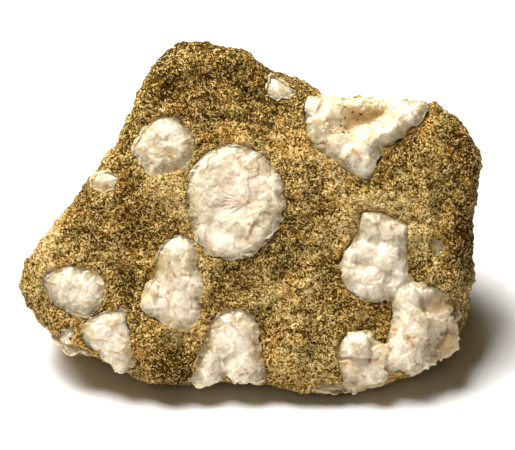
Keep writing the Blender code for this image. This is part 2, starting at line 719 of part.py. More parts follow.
def crystal(bm, frame, place, size, turn, top, chance):
    """Add one blunt crystal with flat faces, its top at a height, leaning a little."""
    sides = chance.choice(CRYSTAL_SIDES)
    lean_x = math.radians(chance.uniform(-CRYSTAL_LEAN, CRYSTAL_LEAN))
    lean_y = math.radians(chance.uniform(-CRYSTAL_LEAN, CRYSTAL_LEAN))
    lean = Matrix.Rotation(lean_x, 4, "X") @ Matrix.Rotation(lean_y, 4, "Y")
    seat = Matrix.Translation((place[0], place[1], top))
    seat = seat @ Matrix.Rotation(math.radians(turn), 4, "Z") @ lean
    first = chance.uniform(0.0, 2.0 * math.pi)
    verts = []
    for level, width in zip((-CRYSTAL_BELOW, 0.0), CRYSTAL_WIDTHS):
        for index in range(sides):
            uneven = chance.uniform(-CRYSTAL_UNEVEN, CRYSTAL_UNEVEN)
            angle = first + 2.0 * math.pi * (index + uneven) / sides
            x = size[0] * width * math.cos(angle)
            y = size[1] * width * math.sin(angle)
            verts.append(bm.verts.new(frame @ (seat @ Vector((x, y, level)))))
    hull = bmesh.ops.convex_hull(bm, input=verts)
    loose = [part for part in hull["geom_interior"] if isinstance(part, bmesh.types.BMVert)]
    bmesh.ops.delete(bm, geom=loose, context="VERTS")


def crystal_bed(filling, frame, rim, ground, cutters):
    """Make the bed that the crystals stand on. It follows the stone and dips in the middle."""
    bm = bmesh.new()
    floor_level = -filling.depth - BED_UNDER
    drop_level = filling.depth * EDGE_DROP
    bed = max(filling.bed, filling.depth * BED_SHARE)
    low = ring(bm, frame, rim, BED_REACH, floor_level)
    outer = []
    inner = []
    for point in rim:
        wide = point * BED_REACH
        level = ground.height(frame, point.x, point.y, drop_level) - BED_LIP
        outer.append(bm.verts.new(frame @ Vector((wide.x, wide.y, level))))
        half = point * BED_MIDDLE
        level = ground.height(frame, half.x, half.y, drop_level) + bed
        inner.append(bm.verts.new(frame @ Vector((half.x, half.y, level))))
    lowest = bm.verts.new(frame @ Vector((0.0, 0.0, floor_level)))
    level = ground.height(frame, 0.0, 0.0, drop_level) + bed
    middle = bm.verts.new(frame @ Vector((0.0, 0.0, level)))
    count = len(rim)
    for index in range(count):
        after = (index + 1) % count
        bm.faces.new((lowest, low[after], low[index]))
        bm.faces.new((low[index], low[after], outer[after], outer[index]))
        bm.faces.new((outer[index], outer[after], inner[after], inner[index]))
        bm.faces.new((middle, inner[index], inner[after]))
    bmesh.ops.triangulate(bm, faces=bm.faces)
    bmesh.ops.recalc_face_normals(bm, faces=bm.faces)
    return new_object(filling.name + "_crown", bm, cutters)


def crystal_places(filling, rim, chance):
    """Return x, y, width, height, turn and rise of the blocks, then of the small crystals."""
    places = []
    for u, v, width, height, turn, rise in filling.blocks:
        places.append((u - filling.middle[0], v - filling.middle[1], width, height, turn, rise))
    count = len(rim)
    for index in range(filling.small):
        along = (index + chance.uniform(0.2, 0.8)) / filling.small * count
        corner = int(along) % count
        spot = rim[corner].lerp(rim[(corner + 1) % count], along % 1.0)
        spot = spot * chance.uniform(*SMALL_PLACE)
        width = filling.small_size * chance.uniform(*SMALL_SIZE)
        height = width * chance.uniform(*SMALL_SHAPE)
        places.append((spot.x, spot.y, width, height, 0.0, filling.rise * chance.random()))
    return places


def crown(filling, frame, rim, ground, cutters):
    """Make the crystals' body: the bed, with every crystal joined on."""
    chance = random.Random(filling.name)
    body = crystal_bed(filling, frame, rim, ground, cutters)
    drop_level = filling.depth * EDGE_DROP
    for x, y, width, height, turn, rise in crystal_places(filling, rim, chance):
        bm = bmesh.new()
        top = ground.height(frame, x, y, drop_level) + rise
        crystal(bm, frame, (x, y), (width, height), turn, top, chance)
        bmesh.ops.recalc_face_normals(bm, faces=bm.faces)
        grown = new_object(filling.name + "_crystal", bm, cutters)
        combine(body, grown, "UNION")
        drop(grown)
    return body


def build_filling(filling, frame, rim, ground, collection, cutters):
    """Make one filling, and the cutter for its pocket."""
    solid = bowl(filling.name, frame, rim, filling.depth, LIFT, 1.0, collection)
    crystals = crown(filling, frame, rim, ground, cutters)
    tidy(crystals)
    combine(solid, crystals, "INTERSECT")
    drop(crystals)
    tidy(solid)
    thin_out(solid, CRYSTAL_SHARE)
    pocket = widened(rim, GAP)
    depth = filling.depth + GAP
    seat = bowl(filling.name + "_pocket", frame, pocket, depth, LIFT + 1.0, FLARE, cutters)
    hide(seat)
    return solid, seat


def local_rim(filling):
    """Return a filling's rim around its middle."""
    middle = Vector(filling.middle)
    return [Vector(point) - middle for point in filling.rim]


def anticlockwise(rim):
    """Return the rim in anticlockwise order."""
    area = sum(a.x * b.y - b.x * a.y for a, b in zip(rim, rim[1:] + rim[:1]))
    return rim if area > 0.0 else rim[::-1]


def side_rim(side, chance):
    """Return the wavy oval rim of a side filling."""
    waves = [(chance.uniform(0.0, 2.0 * math.pi), order) for order in SIDE_WAVES]
    points = []
    for index in range(SIDE_POINTS):
        angle = 2.0 * math.pi * index / SIDE_POINTS
        wave = sum(math.sin(order * angle + start) / order for start, order in waves)
        swell = 1.0 + SIDE_WAVE * wave
        across = side.width / 2 * swell * math.cos(angle)
        along = side.height / 2 * swell * math.sin(angle)
        point = Vector((across, along))
        point.rotate(Matrix.Rotation(math.radians(side.turn), 2))
        points.append(point)
    return points


def side_filling(side, chance):
    """Return a side filling with its crystals."""
    rim = side_rim(side, chance)
    size = min(side.width, side.height)
    large = size > SIDE_LARGE
    blocks = []
    for index in range(SIDE_BLOCKS if large else 1):
        angle = SIDE_BLOCK_TURN * index
        reach = SIDE_BLOCK_PLACE * math.sqrt(index)
        across = reach * side.width * math.cos(angle)
        along = reach * side.height * math.sin(angle)
        width = size * SIDE_BLOCK_SIZE[0]
        height = size * SIDE_BLOCK_SIZE[1]
        turn = chance.uniform(0.0, 90.0)
        blocks.append((across, along, width, height, turn, chance.uniform(*SIDE_BLOCK_RISE)))
    return Filling(
        side.name, (0.0, 0.0), rim, max(size * SIDE_DEPTH, SIDE_LEAST_DEPTH), blocks,
        small=SIDE_SMALL[0] if large else SIDE_SMALL[1],
        small_size=max(size * SIDE_SMALL_SIZE, SIDE_LEAST_SMALL), colour=side.colour,
    )


def finish(item, colour):
    """Tidy a filling and give it its own material."""
    tidy(item)
    item.data.materials.clear()
    item.data.materials.append(material(item.name + "_crystal", colour, CRYSTAL_ROUGHNESS))


def main():
    """Build the stone, then its fillings and the pockets they sit in."""
    clear_scene()
    collection = new_collection(NAME)
    cutters = new_collection("cutters")
    stone = build_stone(collection, cutters)
    ground = Ground(stone)
    face = face_frame()
    seats = []
    fillings = []

    def on_face(filling):
        frame = face @ Matrix.Translation((*filling.middle, 0.0))
        level = ground.height(frame, 0.0, 0.0, -filling.depth)
        frame = frame @ Matrix.Translation((0.0, 0.0, level))
        rim = anticlockwise(local_rim(filling))
        solid, seat = build_filling(filling, frame, rim, ground, collection, cutters)
        seats.append(seat)
        return solid

    for filling in FACE_FILLINGS:
        fillings.append((on_face(filling), filling.colour))

    cluster, *others = [on_face(filling) for filling in LOWER_RIGHT]
    for other in others:
        combine(cluster, other, "UNION")
        drop(other)
    cluster.name = "amygdale_lower_right"
    fillings.append((cluster, ZEOLITE))

    crust = on_face(VUG)
    hollow_frame = face @ Matrix.Translation((*HOLLOW_MIDDLE, face_height(*HOLLOW_MIDDLE)))
    hollow_rim = anticlockwise([Vector(point) - Vector(HOLLOW_MIDDLE) for point in HOLLOW_RIM])
    hollow = bowl("vug_hollow", hollow_frame, hollow_rim, HOLLOW_DEPTH, LIFT, FLARE, cutters)
    hide(hollow)
    combine(crust, hollow, "DIFFERENCE")
    fillings.append((crust, CRUST))

    core = face @ Vector(CORE)
    for side in SIDE_FILLINGS:
        chance = random.Random(side.name)
        filling = side_filling(side, chance)
        frame = ground.frame_toward(core, Vector(side.toward).normalized())
        rim = anticlockwise(filling.rim)
        solid, seat = build_filling(filling, frame, rim, ground, collection, cutters)
        seats.append(seat)
        fillings.append((solid, filling.colour))

    for solid, colour in fillings:
        finish(solid, colour)
    for seat in seats:
        combine(stone, seat, "DIFFERENCE")
    tidy(stone)


main()
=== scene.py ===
"""Looks of the amygdaloidal basalt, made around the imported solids.

The broken lava stone keeps the shape of its solid and gets a gritty, salt-and-pepper surface. Each
filled gas bubble becomes a mass of milky crystals that grew together, with seams, stains and a
rusty rim. Laths and dark grains of the groundmass, the fan of fibres in the large filling and the
small crystals of the open hollow are grown on these surfaces with Geometry Nodes.

Sizes are in millimetres, in the frame of the solids. The broken face has its own directions: u to
the right, v up the face and w out of it, from the middle of the face.
"""

import logging
import math
import random
from dataclasses import dataclass
from enum import Enum

import bmesh
import bpy
import numpy as np
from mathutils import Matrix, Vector, noise
from mathutils.bvhtree import BVHTree
from mathutils.kdtree import KDTree


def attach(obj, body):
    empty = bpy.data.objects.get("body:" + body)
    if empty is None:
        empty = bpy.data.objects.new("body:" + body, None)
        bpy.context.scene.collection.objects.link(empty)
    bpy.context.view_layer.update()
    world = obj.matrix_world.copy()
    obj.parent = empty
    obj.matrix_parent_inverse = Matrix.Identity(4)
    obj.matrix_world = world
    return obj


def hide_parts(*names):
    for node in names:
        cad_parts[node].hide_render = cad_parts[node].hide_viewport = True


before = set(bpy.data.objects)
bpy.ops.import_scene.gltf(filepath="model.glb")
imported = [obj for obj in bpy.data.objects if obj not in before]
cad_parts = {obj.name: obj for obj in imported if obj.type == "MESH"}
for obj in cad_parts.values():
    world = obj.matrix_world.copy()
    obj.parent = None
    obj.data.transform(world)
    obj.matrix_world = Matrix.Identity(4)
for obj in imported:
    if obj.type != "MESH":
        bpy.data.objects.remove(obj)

MM = 0.001
BODY = "root"
MERGE = 0.002
SEED_REACH = 9.0
log = logging.getLogger("specimen")

Colour = tuple[float, float, float]
Place = tuple[float, float]
Array = np.ndarray
Item = bpy.types.Object
Mesh = bpy.types.Mesh
Socket = bpy.types.NodeSocket
Outputs = bpy.types.bpy_prop_collection


class BrokenFace:
    """The leaning broken face with its own directions."""

    lean: float = math.radians(35.0)
    middle: Array = np.array((-0.2, -11.3, 33.2))
    right: Array = np.array((1.0, 0.0, 0.0))
    up: Array = np.array((0.0, math.sin(lean), math.cos(lean)))
    out: Array = np.array((0.0, -math.cos(lean), math.sin(lean)))

    @classmethod
    def from_world(cls, points: Array) -> Array:
        """Turn rows of points of the frame, in millimetres, into rows of u, v, w."""
        away = points - cls.middle
        return np.stack((away @ cls.right, away @ cls.up, away @ cls.out), axis=1)

    @classmethod
    def to_world(cls, points: Array) -> Array:
        """Turn rows of u, v, w into points of the frame."""
        return cls.middle + points @ np.stack((cls.right, cls.up, cls.out))


def read_points(mesh: Mesh) -> Array:
    """Return a mesh's points in millimetres, one row each."""
    values = np.empty(len(mesh.vertices) * 3)
    mesh.vertices.foreach_get("co", values)
    return values.reshape(-1, 3) / MM


def read_normals(mesh: Mesh) -> Array:
    """Return a mesh's normals at its points, one row each."""
    values = np.empty(len(mesh.vertices) * 3)
    mesh.vertices.foreach_get("normal", values)
    return values.reshape(-1, 3)


def write_points(mesh: Mesh, points: Array) -> None:
    """Move a mesh's points to rows given in millimetres."""
    mesh.vertices.foreach_set("co", (points * MM).ravel())
    mesh.update()


def write_attributes(mesh: Mesh, **layers: Array) -> None:
    """Store numbers for the points of a mesh, each layer under its name, for the material."""
    for name, values in layers.items():
        layer = mesh.attributes.new(name, "FLOAT", "POINT")
        layer.data.foreach_set("value", values.astype(np.float32))


def smooth_step(values: Array, start: float, end: float) -> Array:
    """Return 0 before start, 1 after end and a smooth rise between them."""
    share = np.clip((values - start) / (end - start), 0.0, 1.0)
    return share * share * (3.0 - 2.0 * share)


def cloud(points: Array, size: float, seed: float, layers: int = 3) -> Array:
    """Return smooth noise at points.

    Args:
        points: rows in millimetres.
        size: how wide the swells of the noise are.
        seed: another seed gives other noise.
        layers: how many finer noises are added, each half as high.

    Returns:
        One value for each point, mostly between -1 and 1.
    """
    start = Vector((7.1, 3.7, 5.3)) * seed
    return np.array([noise.fractal(Vector(p) / size + start, 1.0, 2.0, layers) for p in points.tolist()])


def chips(points: Array, size: float, seed: float) -> Array:
    """Return how far points are inside the nearest of many cells: 0 at a border, up to about 1."""
    start = Vector((2.9, 8.3, 4.7)) * seed
    found = [noise.voronoi(Vector(p) / size + start)[0] for p in points.tolist()]
    return np.array([near[1] - near[0] for near in found])


def tree_of(meshes: list[Mesh]) -> BVHTree:
    """Return one search tree, in millimetres, for the faces of some meshes."""
    points: list[tuple[float, ...]] = []
    faces: list[tuple[int, ...]] = []
    for mesh in meshes:
        first = len(points)
        points.extend(map(tuple, read_points(mesh).tolist()))
        faces.extend(tuple(first + index for index in face.vertices) for face in mesh.polygons)
    return BVHTree.FromPolygons(points, faces)


def distances(tree: BVHTree, points: Array, reach: float) -> Array:
    """Return each point's distance to the tree's surface, or reach where that is nearer."""
    result = np.full(len(points), reach)
    for index, point in enumerate(points.tolist()):
        found = tree.find_nearest(Vector(point), reach)
        if found[0] is not None:
            result[index] = found[3]
    return result


def new_object(name: str, data: bpy.types.ID) -> Item:
    """Return a new object of the scene."""
    item = bpy.data.objects.new(name, data)
    bpy.context.scene.collection.objects.link(item)
    return item


def copy_of_node(node: str, name: str) -> Item:
    """Return a new object with a copy of a solid's mesh, its loose triangles joined."""
    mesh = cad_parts[node].data.copy()
    mesh.name = name
    mesh.materials.clear()
    bm = bmesh.new()
    bm.from_mesh(mesh)
    bmesh.ops.remove_doubles(bm, verts=bm.verts, dist=MERGE * MM)
    bm.to_mesh(mesh)
    bm.free()
    return new_object(name, mesh)


def even_out(item: Item, voxel: float) -> None:
    """Cover an object with an even, closed net of a given mesh width."""
    net = item.modifiers.new("net", "REMESH")
    net.mode = "VOXEL"
    net.voxel_size = voxel * MM


def swell(item: Item, amount: float) -> None:
    """Move an object's surface outward, or inward if the amount is negative."""
    move = item.modifiers.new("swell", "DISPLACE")
    move.mid_level = 0.0
    move.strength = amount * MM


def soften(item: Item, repeats: int) -> None:
    """Smooth an object's surface."""
    smooth = item.modifiers.new("soften", "SMOOTH")
    smooth.factor = 0.5
    smooth.iterations = repeats


def settle(item: Item) -> None:
    """Replace an object's mesh by the result of its modifiers."""
    graph = bpy.context.evaluated_depsgraph_get()
    mesh = bpy.data.meshes.new_from_object(item.evaluated_get(graph))
    item.modifiers.clear()
    old = item.data
    item.data = mesh
    bpy.data.meshes.remove(old)


class Graph:
    """Adds and joins the nodes of one node tree."""

    def __init__(self, tree: bpy.types.NodeTree) -> None:
        """Keep the tree that nodes are added to."""
        self.tree = tree

    def add(self, kind: str, inputs: dict | None = None, **settings: object) -> Outputs:
        """Add a node.

        Args:
            kind: the node's type.
            inputs: a socket to join or a value to set, by the input's name or number.
            settings: the node's own settings.

        Returns:
            The new node's outputs.
        """
        made = self.tree.nodes.new(kind)
        for key, value in settings.items():
            setattr(made, key, value)
        for key, value in (inputs or {}).items():
            if isinstance(value, Socket):
                self.tree.links.new(value, made.inputs[key])
            else:
                made.inputs[key].default_value = value
        return made.outputs

    def math(self, operation: str, *values: object) -> Socket:
        """Return the result of a sum, product or other operation."""
        return self.add("ShaderNodeMath", dict(enumerate(values)), operation=operation)[0]


class Growth(Graph):
    """A Geometry Nodes tree that grows one piece from a mesh, with an input for each value."""

    def __init__(self, name: str, values: dict[str, object]) -> None:
        """Start the tree with its named inputs."""
        super().__init__(bpy.data.node_groups.new(name, "GeometryNodeTree"))
        self.values = values
        face = self.tree.interface
        face.new_socket("Mesh", in_out="INPUT", socket_type="NodeSocketGeometry")
        for label, value in values.items():
            kind = "NodeSocketFloat" if isinstance(value, float) else "NodeSocketMaterial"
            face.new_socket(label, in_out="INPUT", socket_type=kind)
        face.new_socket("Grown", in_out="OUTPUT", socket_type="NodeSocketGeometry")
        self.given = self.add("NodeGroupInput")

    def toned(self, geometry: Socket, domain: str, seed: int) -> Socket:
        """Give each grown thing its own random tone, which the finish reads."""
        tone = self.add("FunctionNodeRandomValue", {"Seed": seed}, data_type="FLOAT")[1]
        inputs = {"Geometry": geometry, "Name": "tone", "Value": tone}
        return self.add("GeometryNodeStoreNamedAttribute", inputs, data_type="FLOAT", domain=domain)[0]

    def close(self, geometry: Socket) -> None:
        """End the tree with real meshes that have the finish."""
        real = self.add("GeometryNodeRealizeInstances", {0: geometry})[0]
        inputs = {"Geometry": real, "Material": self.given["Finish"]}
        self.add("NodeGroupOutput", {0: self.add("GeometryNodeSetMaterial", inputs)[0]})

    def grow(self, item: Item) -> None:
        """Replace an object's mesh by what the tree grows from it."""
        modifier = item.modifiers.new("growth", "NODES")
        modifier.node_group = self.tree
        for socket in self.tree.interface.items_tree:
            if socket.name in self.values:
                modifier[socket.identifier] = self.values[socket.name]
        settle(item)


class Shade(Graph):
    """The node tree of one material, with patterns measured in millimetres."""

    def __init__(self, name: str) -> None:
        """Start a material with a Principled shader."""
        self.material = bpy.data.materials.new(name)
        self.material.use_nodes = True
        super().__init__(self.material.node_tree)
        self.shader = self.tree.nodes["Principled BSDF"]
        self.place = self.scaled(self.add("ShaderNodeTexCoord")["Object"], 1.0 / MM)

    def vector(self, operation: str, first: object, second: object) -> Outputs:
        """Return what an operation on two vectors gives."""
        return self.add("ShaderNodeVectorMath", {0: first, 1: second}, operation=operation)

    def scaled(self, vector: Socket, amount: float) -> Socket:
        """Return a vector times an amount."""
        return self.add("ShaderNodeVectorMath", {0: vector, "Scale": amount}, operation="SCALE")[0]

    def cloud(self, size: float, detail: float = 2.0, place: Socket | None = None) -> Socket:
        """Return smooth noise from 0 to 1 whose swells have a size in millimetres."""
        inputs = {"Vector": place or self.place, "Scale": 1.0 / size, "Detail": detail}
        return self.add("ShaderNodeTexNoise", inputs)[0]

    def bent(self, size: float, amount: float) -> Socket:
        """Return places pushed about, so that a pattern on them has curved borders."""
        inputs = {"Vector": self.place, "Scale": 1.0 / size, "Detail": 2.0}
        push = self.scaled(self.add("ShaderNodeTexNoise", inputs)[1], amount)
        return self.vector("ADD", self.place, push)[0]

    def grains(self, size: float, place: Socket, **settings: str) -> Outputs:
        """Return what a pattern of grains of a size gives."""
        return self.add("ShaderNodeTexVoronoi", {"Vector": place, "Scale": 1.0 / size}, **settings)

    def cells(self, size: float, place: Socket) -> Socket:
        """Return a random value from 0 to 1 for each of many grains of a size."""
        return self.add("ShaderNodeSeparateColor", {0: self.grains(size, place)["Color"]})[0]

    def strands(self, size: float, place: Socket) -> Socket:
        """Return thin curved strands: 1 along their middle, 0 away from them."""
        away = self.math("ABSOLUTE", self.math("SUBTRACT", self.cloud(size, 1.0, place), 0.5))
        return self.ranged(away, 0.09, 0.0, 0.0, 1.0)

    def borders(self, size: float, width: float, place: Socket) -> Socket:
        """Return thin lines between grains of a size: 1 on a line, 0 inside a grain."""
        away = self.grains(size, place, feature="DISTANCE_TO_EDGE")["Distance"]
        return self.ranged(away, 0.0, width / size, 1.0, 0.0)

    def beads(self, apart: float, radius: float) -> Socket:
        """Return scattered round spots: 1 in a spot, 0 outside, with some of them left out."""
        grains = self.grains(apart, self.bent(0.7, 0.25))
        edge = radius / apart
        spot = self.ranged(grains["Distance"], edge * 1.15, edge * 0.75, 0.0, 0.9)
        shown = self.add("ShaderNodeSeparateColor", {0: grains["Color"]})[1]
        return self.math("MULTIPLY", spot, self.math("GREATER_THAN", shown, 0.62))

    def facets(self, size: float, place: Socket) -> Socket:
        """Return the height of small flat faces of a size, each leaning its own way."""
        grains = self.grains(size, place)
        away = self.vector("SUBTRACT", place, self.scaled(grains["Position"], size))[0]
        lean = self.vector("SUBTRACT", grains["Color"], (0.5, 0.5, 0.5))[0]
        return self.vector("DOT_PRODUCT", away, lean)["Value"]

    def ranged(
        self, value: object, low: float, high: float, new_low: float = 0.0, new_high: float = 1.0
    ) -> Socket:
        """Return a value moved from one range to another and kept inside it."""
        inputs = {0: value, 1: low, 2: high, 3: new_low, 4: new_high}
        return self.add("ShaderNodeMapRange", inputs)[0]

    def stored(self, name: str) -> Socket:
        """Return the number stored on the mesh's points under a name."""
        return self.add("ShaderNodeAttribute", attribute_name=name)["Fac"]

    def ramp(self, value: object, stops: list[tuple[float, Colour]]) -> Socket:
        """Return a colour for a value, blended between stops."""
        made = self.add("ShaderNodeValToRGB", {0: value})[0]
        elements = made.node.color_ramp.elements
        while len(elements) < len(stops):
            elements.new(1.0)
        for element, (position, colour) in zip(elements, stops):
            element.position = position
            element.color = (*colour, 1.0)
        return made

    def blend(self, share: object, first: object, second: object, kind: str = "MIX") -> Socket:
        """Return a colour between two, or two colours blended in another way."""
        inputs = {0: share}
        for number, colour in ((6, first), (7, second)):
            inputs[number] = colour if isinstance(colour, Socket) else (*colour, 1.0)
        return self.add("ShaderNodeMix", inputs, data_type="RGBA", blend_type=kind)[2]

    def finish(self, colour: object, roughness: object, height: object, depth: float) -> None:
        """Join the colour, roughness and fine relief to the shader.

        Args:
            colour: the base colour.
            roughness: the roughness.
            height: the relief, from 0 to 1.
            depth: how deep the relief is, in millimetres.
        """
        bump = self.add("ShaderNodeBump", {"Height": height, "Strength": 1.0, "Distance": depth * MM})
        for label, value in (("Base Color", colour), ("Roughness", roughness), ("Normal", bump[0])):
            self.tree.links.new(value, self.shader.inputs[label])


@dataclass(frozen=True)
class BasaltFinish:
    """Olive-brown groundmass, peppered with dark, ochre and beige grains."""

    coarse: float = 0.44
    fine: float = 0.25
    strand: float = 0.55
    patch: float = 9.0
    contrast: float = 1.88
    palette: tuple[tuple[float, Colour], ...] = (
        (0.06, (0.026, 0.012, 0.0005)),
        (0.33, (0.118, 0.060, 0.003)),
        (0.52, (0.262, 0.146, 0.016)),
        (0.70, (0.460, 0.288, 0.062)),
        (0.98, (0.800, 0.620, 0.310)),
    )
    rust: Colour = (0.44, 0.22, 0.035)
    bead: Colour = (0.016, 0.011, 0.004)
    red_tint: Colour = (1.0, 0.88, 0.68)
    green_tint: Colour = (0.84, 0.90, 0.88)

    def build(self) -> bpy.types.Material:
        """Return the material."""
        shade = Shade("basalt_groundmass")
        place = shade.bent(0.7, 0.5)
        parts = (
            (shade.cells(self.coarse, place), 0.34, 0.5),
            (shade.cells(self.fine, place), 0.30, 0.5),
            (shade.strands(self.strand, place), 0.24, 0.3),
            (shade.strands(self.strand * 1.3, shade.bent(0.6, 0.4)), -0.20, 0.3),
            (shade.cloud(self.patch, 3.0), 0.36, 0.5),
            # Painted shade and light: the colour is darker where the relief is low and paler where it is
            # high.
            (shade.stored("relief"), 0.12, 0.0),
            # patch: partly the stone's own darker and paler patches, partly painted shade on the top and
            # the right-hand side strip.
            (shade.stored("patch"), 0.50, 0.0),
        )
        tone: object = 0.5 - self.contrast * sum(weight * usual for _, weight, usual in parts)
        for value, weight, _ in parts:
            tone = shade.math("MULTIPLY_ADD", value, weight * self.contrast, tone)
        colour = shade.ramp(tone, list(self.palette))
        colour = shade.blend(shade.beads(2.9, 0.55), colour, self.bead)
        spots = shade.ranged(shade.cloud(2.6, 4.0), 0.60, 0.70, 0.0, 0.45)
        colour = shade.blend(spots, colour, self.rust)
        broken = shade.ranged(shade.cloud(1.5, 3.0), 0.40, 0.60, 0.0, 0.55)
        rusty = shade.math("MULTIPLY", shade.stored("rim"), broken)
        colour = shade.blend(rusty, colour, self.rust)
        for size, tint in ((8.0, self.red_tint), (6.5, self.green_tint)):
            share = shade.ranged(shade.cloud(size, 3.0), 0.48, 0.66)
            colour = shade.blend(share, colour, tint, "MULTIPLY")
        roughness = shade.ranged(tone, 0.2, 0.9, 0.9, 0.5)
        shade.finish(colour, roughness, tone, 0.10)
        shade.shader.inputs["Specular IOR Level"].default_value = 0.08
        return shade.material


@dataclass(frozen=True)
class ZeoliteFinish:
    """Milky crystals: clear at the wall, paler away from it, rusty at the rim, with painted glints."""

    name: str = "milky_zeolite"
    clear: Colour = (0.40, 0.32, 0.16)
    wall: Colour = (0.57, 0.48, 0.31)
    heart: Colour = (0.84, 0.75, 0.60)
    milk: Colour = (0.94, 0.875, 0.75)
    seam: Colour = (0.52, 0.37, 0.17)
    stain: Colour = (0.52, 0.26, 0.06)
    # Tan of the hollow and of some crystals, also used as painted shade in dips and gaps.
    tan: Colour = (0.40, 0.27, 0.11)
    # Painted highlight: the near-white colour of the glints painted on the crystals.
    painted_glint: Colour = (0.97, 0.95, 0.90)
    speck: Colour = (0.10, 0.055, 0.015)
    rust: Colour = (0.55, 0.30, 0.07)
    clearness: float = 0.85
    depth: float = 1.5
    blocks: tuple[float, float, float] = (3.2, 1.3, 0.45)
    block_tones: tuple[float, float, float] = (0.60, 0.34, 0.22)
    block_tilts: tuple[float, float, float] = (1.0, 0.7, 0.5)
    border_widths: tuple[float, float] = (0.22, 0.10)

    def build(self) -> bpy.types.Material:
        """Return the material."""
        shade = Shade(self.name)
        veil = shade.ranged(shade.stored("inside"), 0.0, 2.8, -0.28, 0.40)
        veil = shade.math("MULTIPLY_ADD", shade.stored("tone"), 0.40, veil)
        veil = shade.math("MULTIPLY_ADD", shade.math("SUBTRACT", shade.cloud(1.8, 4.0), 0.45), 0.5, veil)
        place = shade.bent(1.8, 0.6)
        relief: object = 0.0
        for size, weight, tilt in zip(self.blocks, self.block_tones, self.block_tilts):
            grain = shade.math("SUBTRACT", shade.cells(size, place), 0.5)
            veil = shade.math("MULTIPLY_ADD", grain, weight, veil)
            relief = shade.math("MULTIPLY_ADD", shade.facets(size, place), tilt, relief)
        stops = [(0.0, self.clear), (0.35, self.wall), (0.65, self.heart), (1.0, self.milk)]
        colour = shade.ramp(shade.ranged(veil, -0.3, 1.25), stops)
        # Painted highlights: scattered small flakes turned near-white in the colour, as glints.
        painted_glints = shade.ranged(shade.cells(0.42, shade.bent(0.5, 0.3)), 0.84, 0.90, 0.0, 0.55)
        painted_glints = shade.math("MULTIPLY", painted_glints, shade.ranged(shade.cloud(2.4), 0.45, 0.6))
        sizes = zip(self.blocks, self.border_widths)
        lines = shade.math("MAXIMUM", *(shade.borders(size, width, place) for size, width in sizes))
        lines = shade.math("MULTIPLY", lines, shade.ranged(shade.cloud(2.0), 0.46, 0.60, 0.0, 0.5))
        lines = shade.math("MAXIMUM", lines, shade.stored("seam"))
        broken = shade.ranged(shade.cloud(1.1), 0.48, 0.62, 0.0, 0.8)
        rusty = shade.math("MULTIPLY", shade.stored("rim"), broken)
        stained = shade.stored("stain")
        crumbs = shade.ranged(shade.cloud(0.7, 4.0), 0.40, 0.58, 0.3, 1.0)
        crumbs = shade.math("MULTIPLY", crumbs, shade.ranged(stained, 0.0, 0.55, 0.0, 0.85))
        specks = shade.ranged(stained, 0.7, 1.2)
        # Blended over the colour in turn: painted glints, seams, tan (partly painted shade), rust, stain
        # crumbs and specks.
        shares = (painted_glints, lines, shade.stored("tan"), rusty, crumbs, specks)
        over = (self.painted_glint, self.seam, self.tan, self.rust, self.stain, self.speck)
        for share, other in zip(shares, over):
            colour = shade.blend(share, colour, other)
        roughness = shade.ranged(shade.cloud(1.1, 3.0), 0.3, 0.7, 0.12, 0.38)
        shade.finish(colour, roughness, relief, 0.09)
        shade.shader.inputs["Subsurface Weight"].default_value = self.clearness
        shade.shader.inputs["Subsurface Radius"].default_value = (1.0, 0.85, 0.66)
        shade.shader.inputs["Subsurface Scale"].default_value = self.depth * MM
        shade.shader.inputs["IOR"].default_value = 1.5
        return shade.material


@dataclass(frozen=True)
class GrainFinish:
    """Small mineral grains, each a little different in tone."""

    name: str
    dark: Colour
    light: Colour
    roughness: tuple[float, float]

    def build(self) -> bpy.types.Material:
        """Return the material."""
        shade = Shade(self.name)
        fine = shade.cloud(0.3, 2.0)
        share = shade.math("MULTIPLY_ADD", fine, 0.3, shade.stored("tone"))
        colour = shade.blend(share, self.dark, self.light)
        shade.finish(colour, shade.ranged(fine, 0.3, 0.7, *self.roughness), fine, 0.03)
        shade.shader.inputs["Specular IOR Level"].default_value = 0.3
        return shade.material


@dataclass(frozen=True)
class Mark:
    """A stain, a groove or both, along a path on the broken face."""

    path: tuple[Place, ...]
    width: float
    stain: float
    groove: float


def mark_rows(*rows: tuple) -> tuple[Mark, ...]:
    """Return marks from rows of width, stain, groove and the places of the path."""
    return tuple(Mark(row[3:], *row[:3]) for row in rows)


@dataclass(frozen=True)
class Lobe:
    """A rounded swelling, or a dip if its rise is negative, on the broken face."""

    middle: Place
    width: float
    height: float
    rise: float
    tone: float = 0.0
    turn: float = 0.0


def lobe_rows(*rows: tuple[float, ...]) -> tuple[Lobe, ...]:
    """Return lobes from rows of u, v, width, height, rise and, where they have them, tone and turn."""
    return tuple(Lobe(row[:2], *row[2:]) for row in rows)


def swelling(at: Array, lobe: Lobe) -> Array:
    """Return a lobe's share at points in u, v, w: 1 in its middle, 0 outside it."""
    turn = math.radians(lobe.turn)
    u = at[:, 0] - lobe.middle[0]
    v = at[:, 1] - lobe.middle[1]
    across = (u * math.cos(turn) + v * math.sin(turn)) / (lobe.width / 2)
    along = (v * math.cos(turn) - u * math.sin(turn)) / (lobe.height / 2)
    return np.sqrt(np.clip(1.0 - across**2 - along**2, 0.0, 1.0))


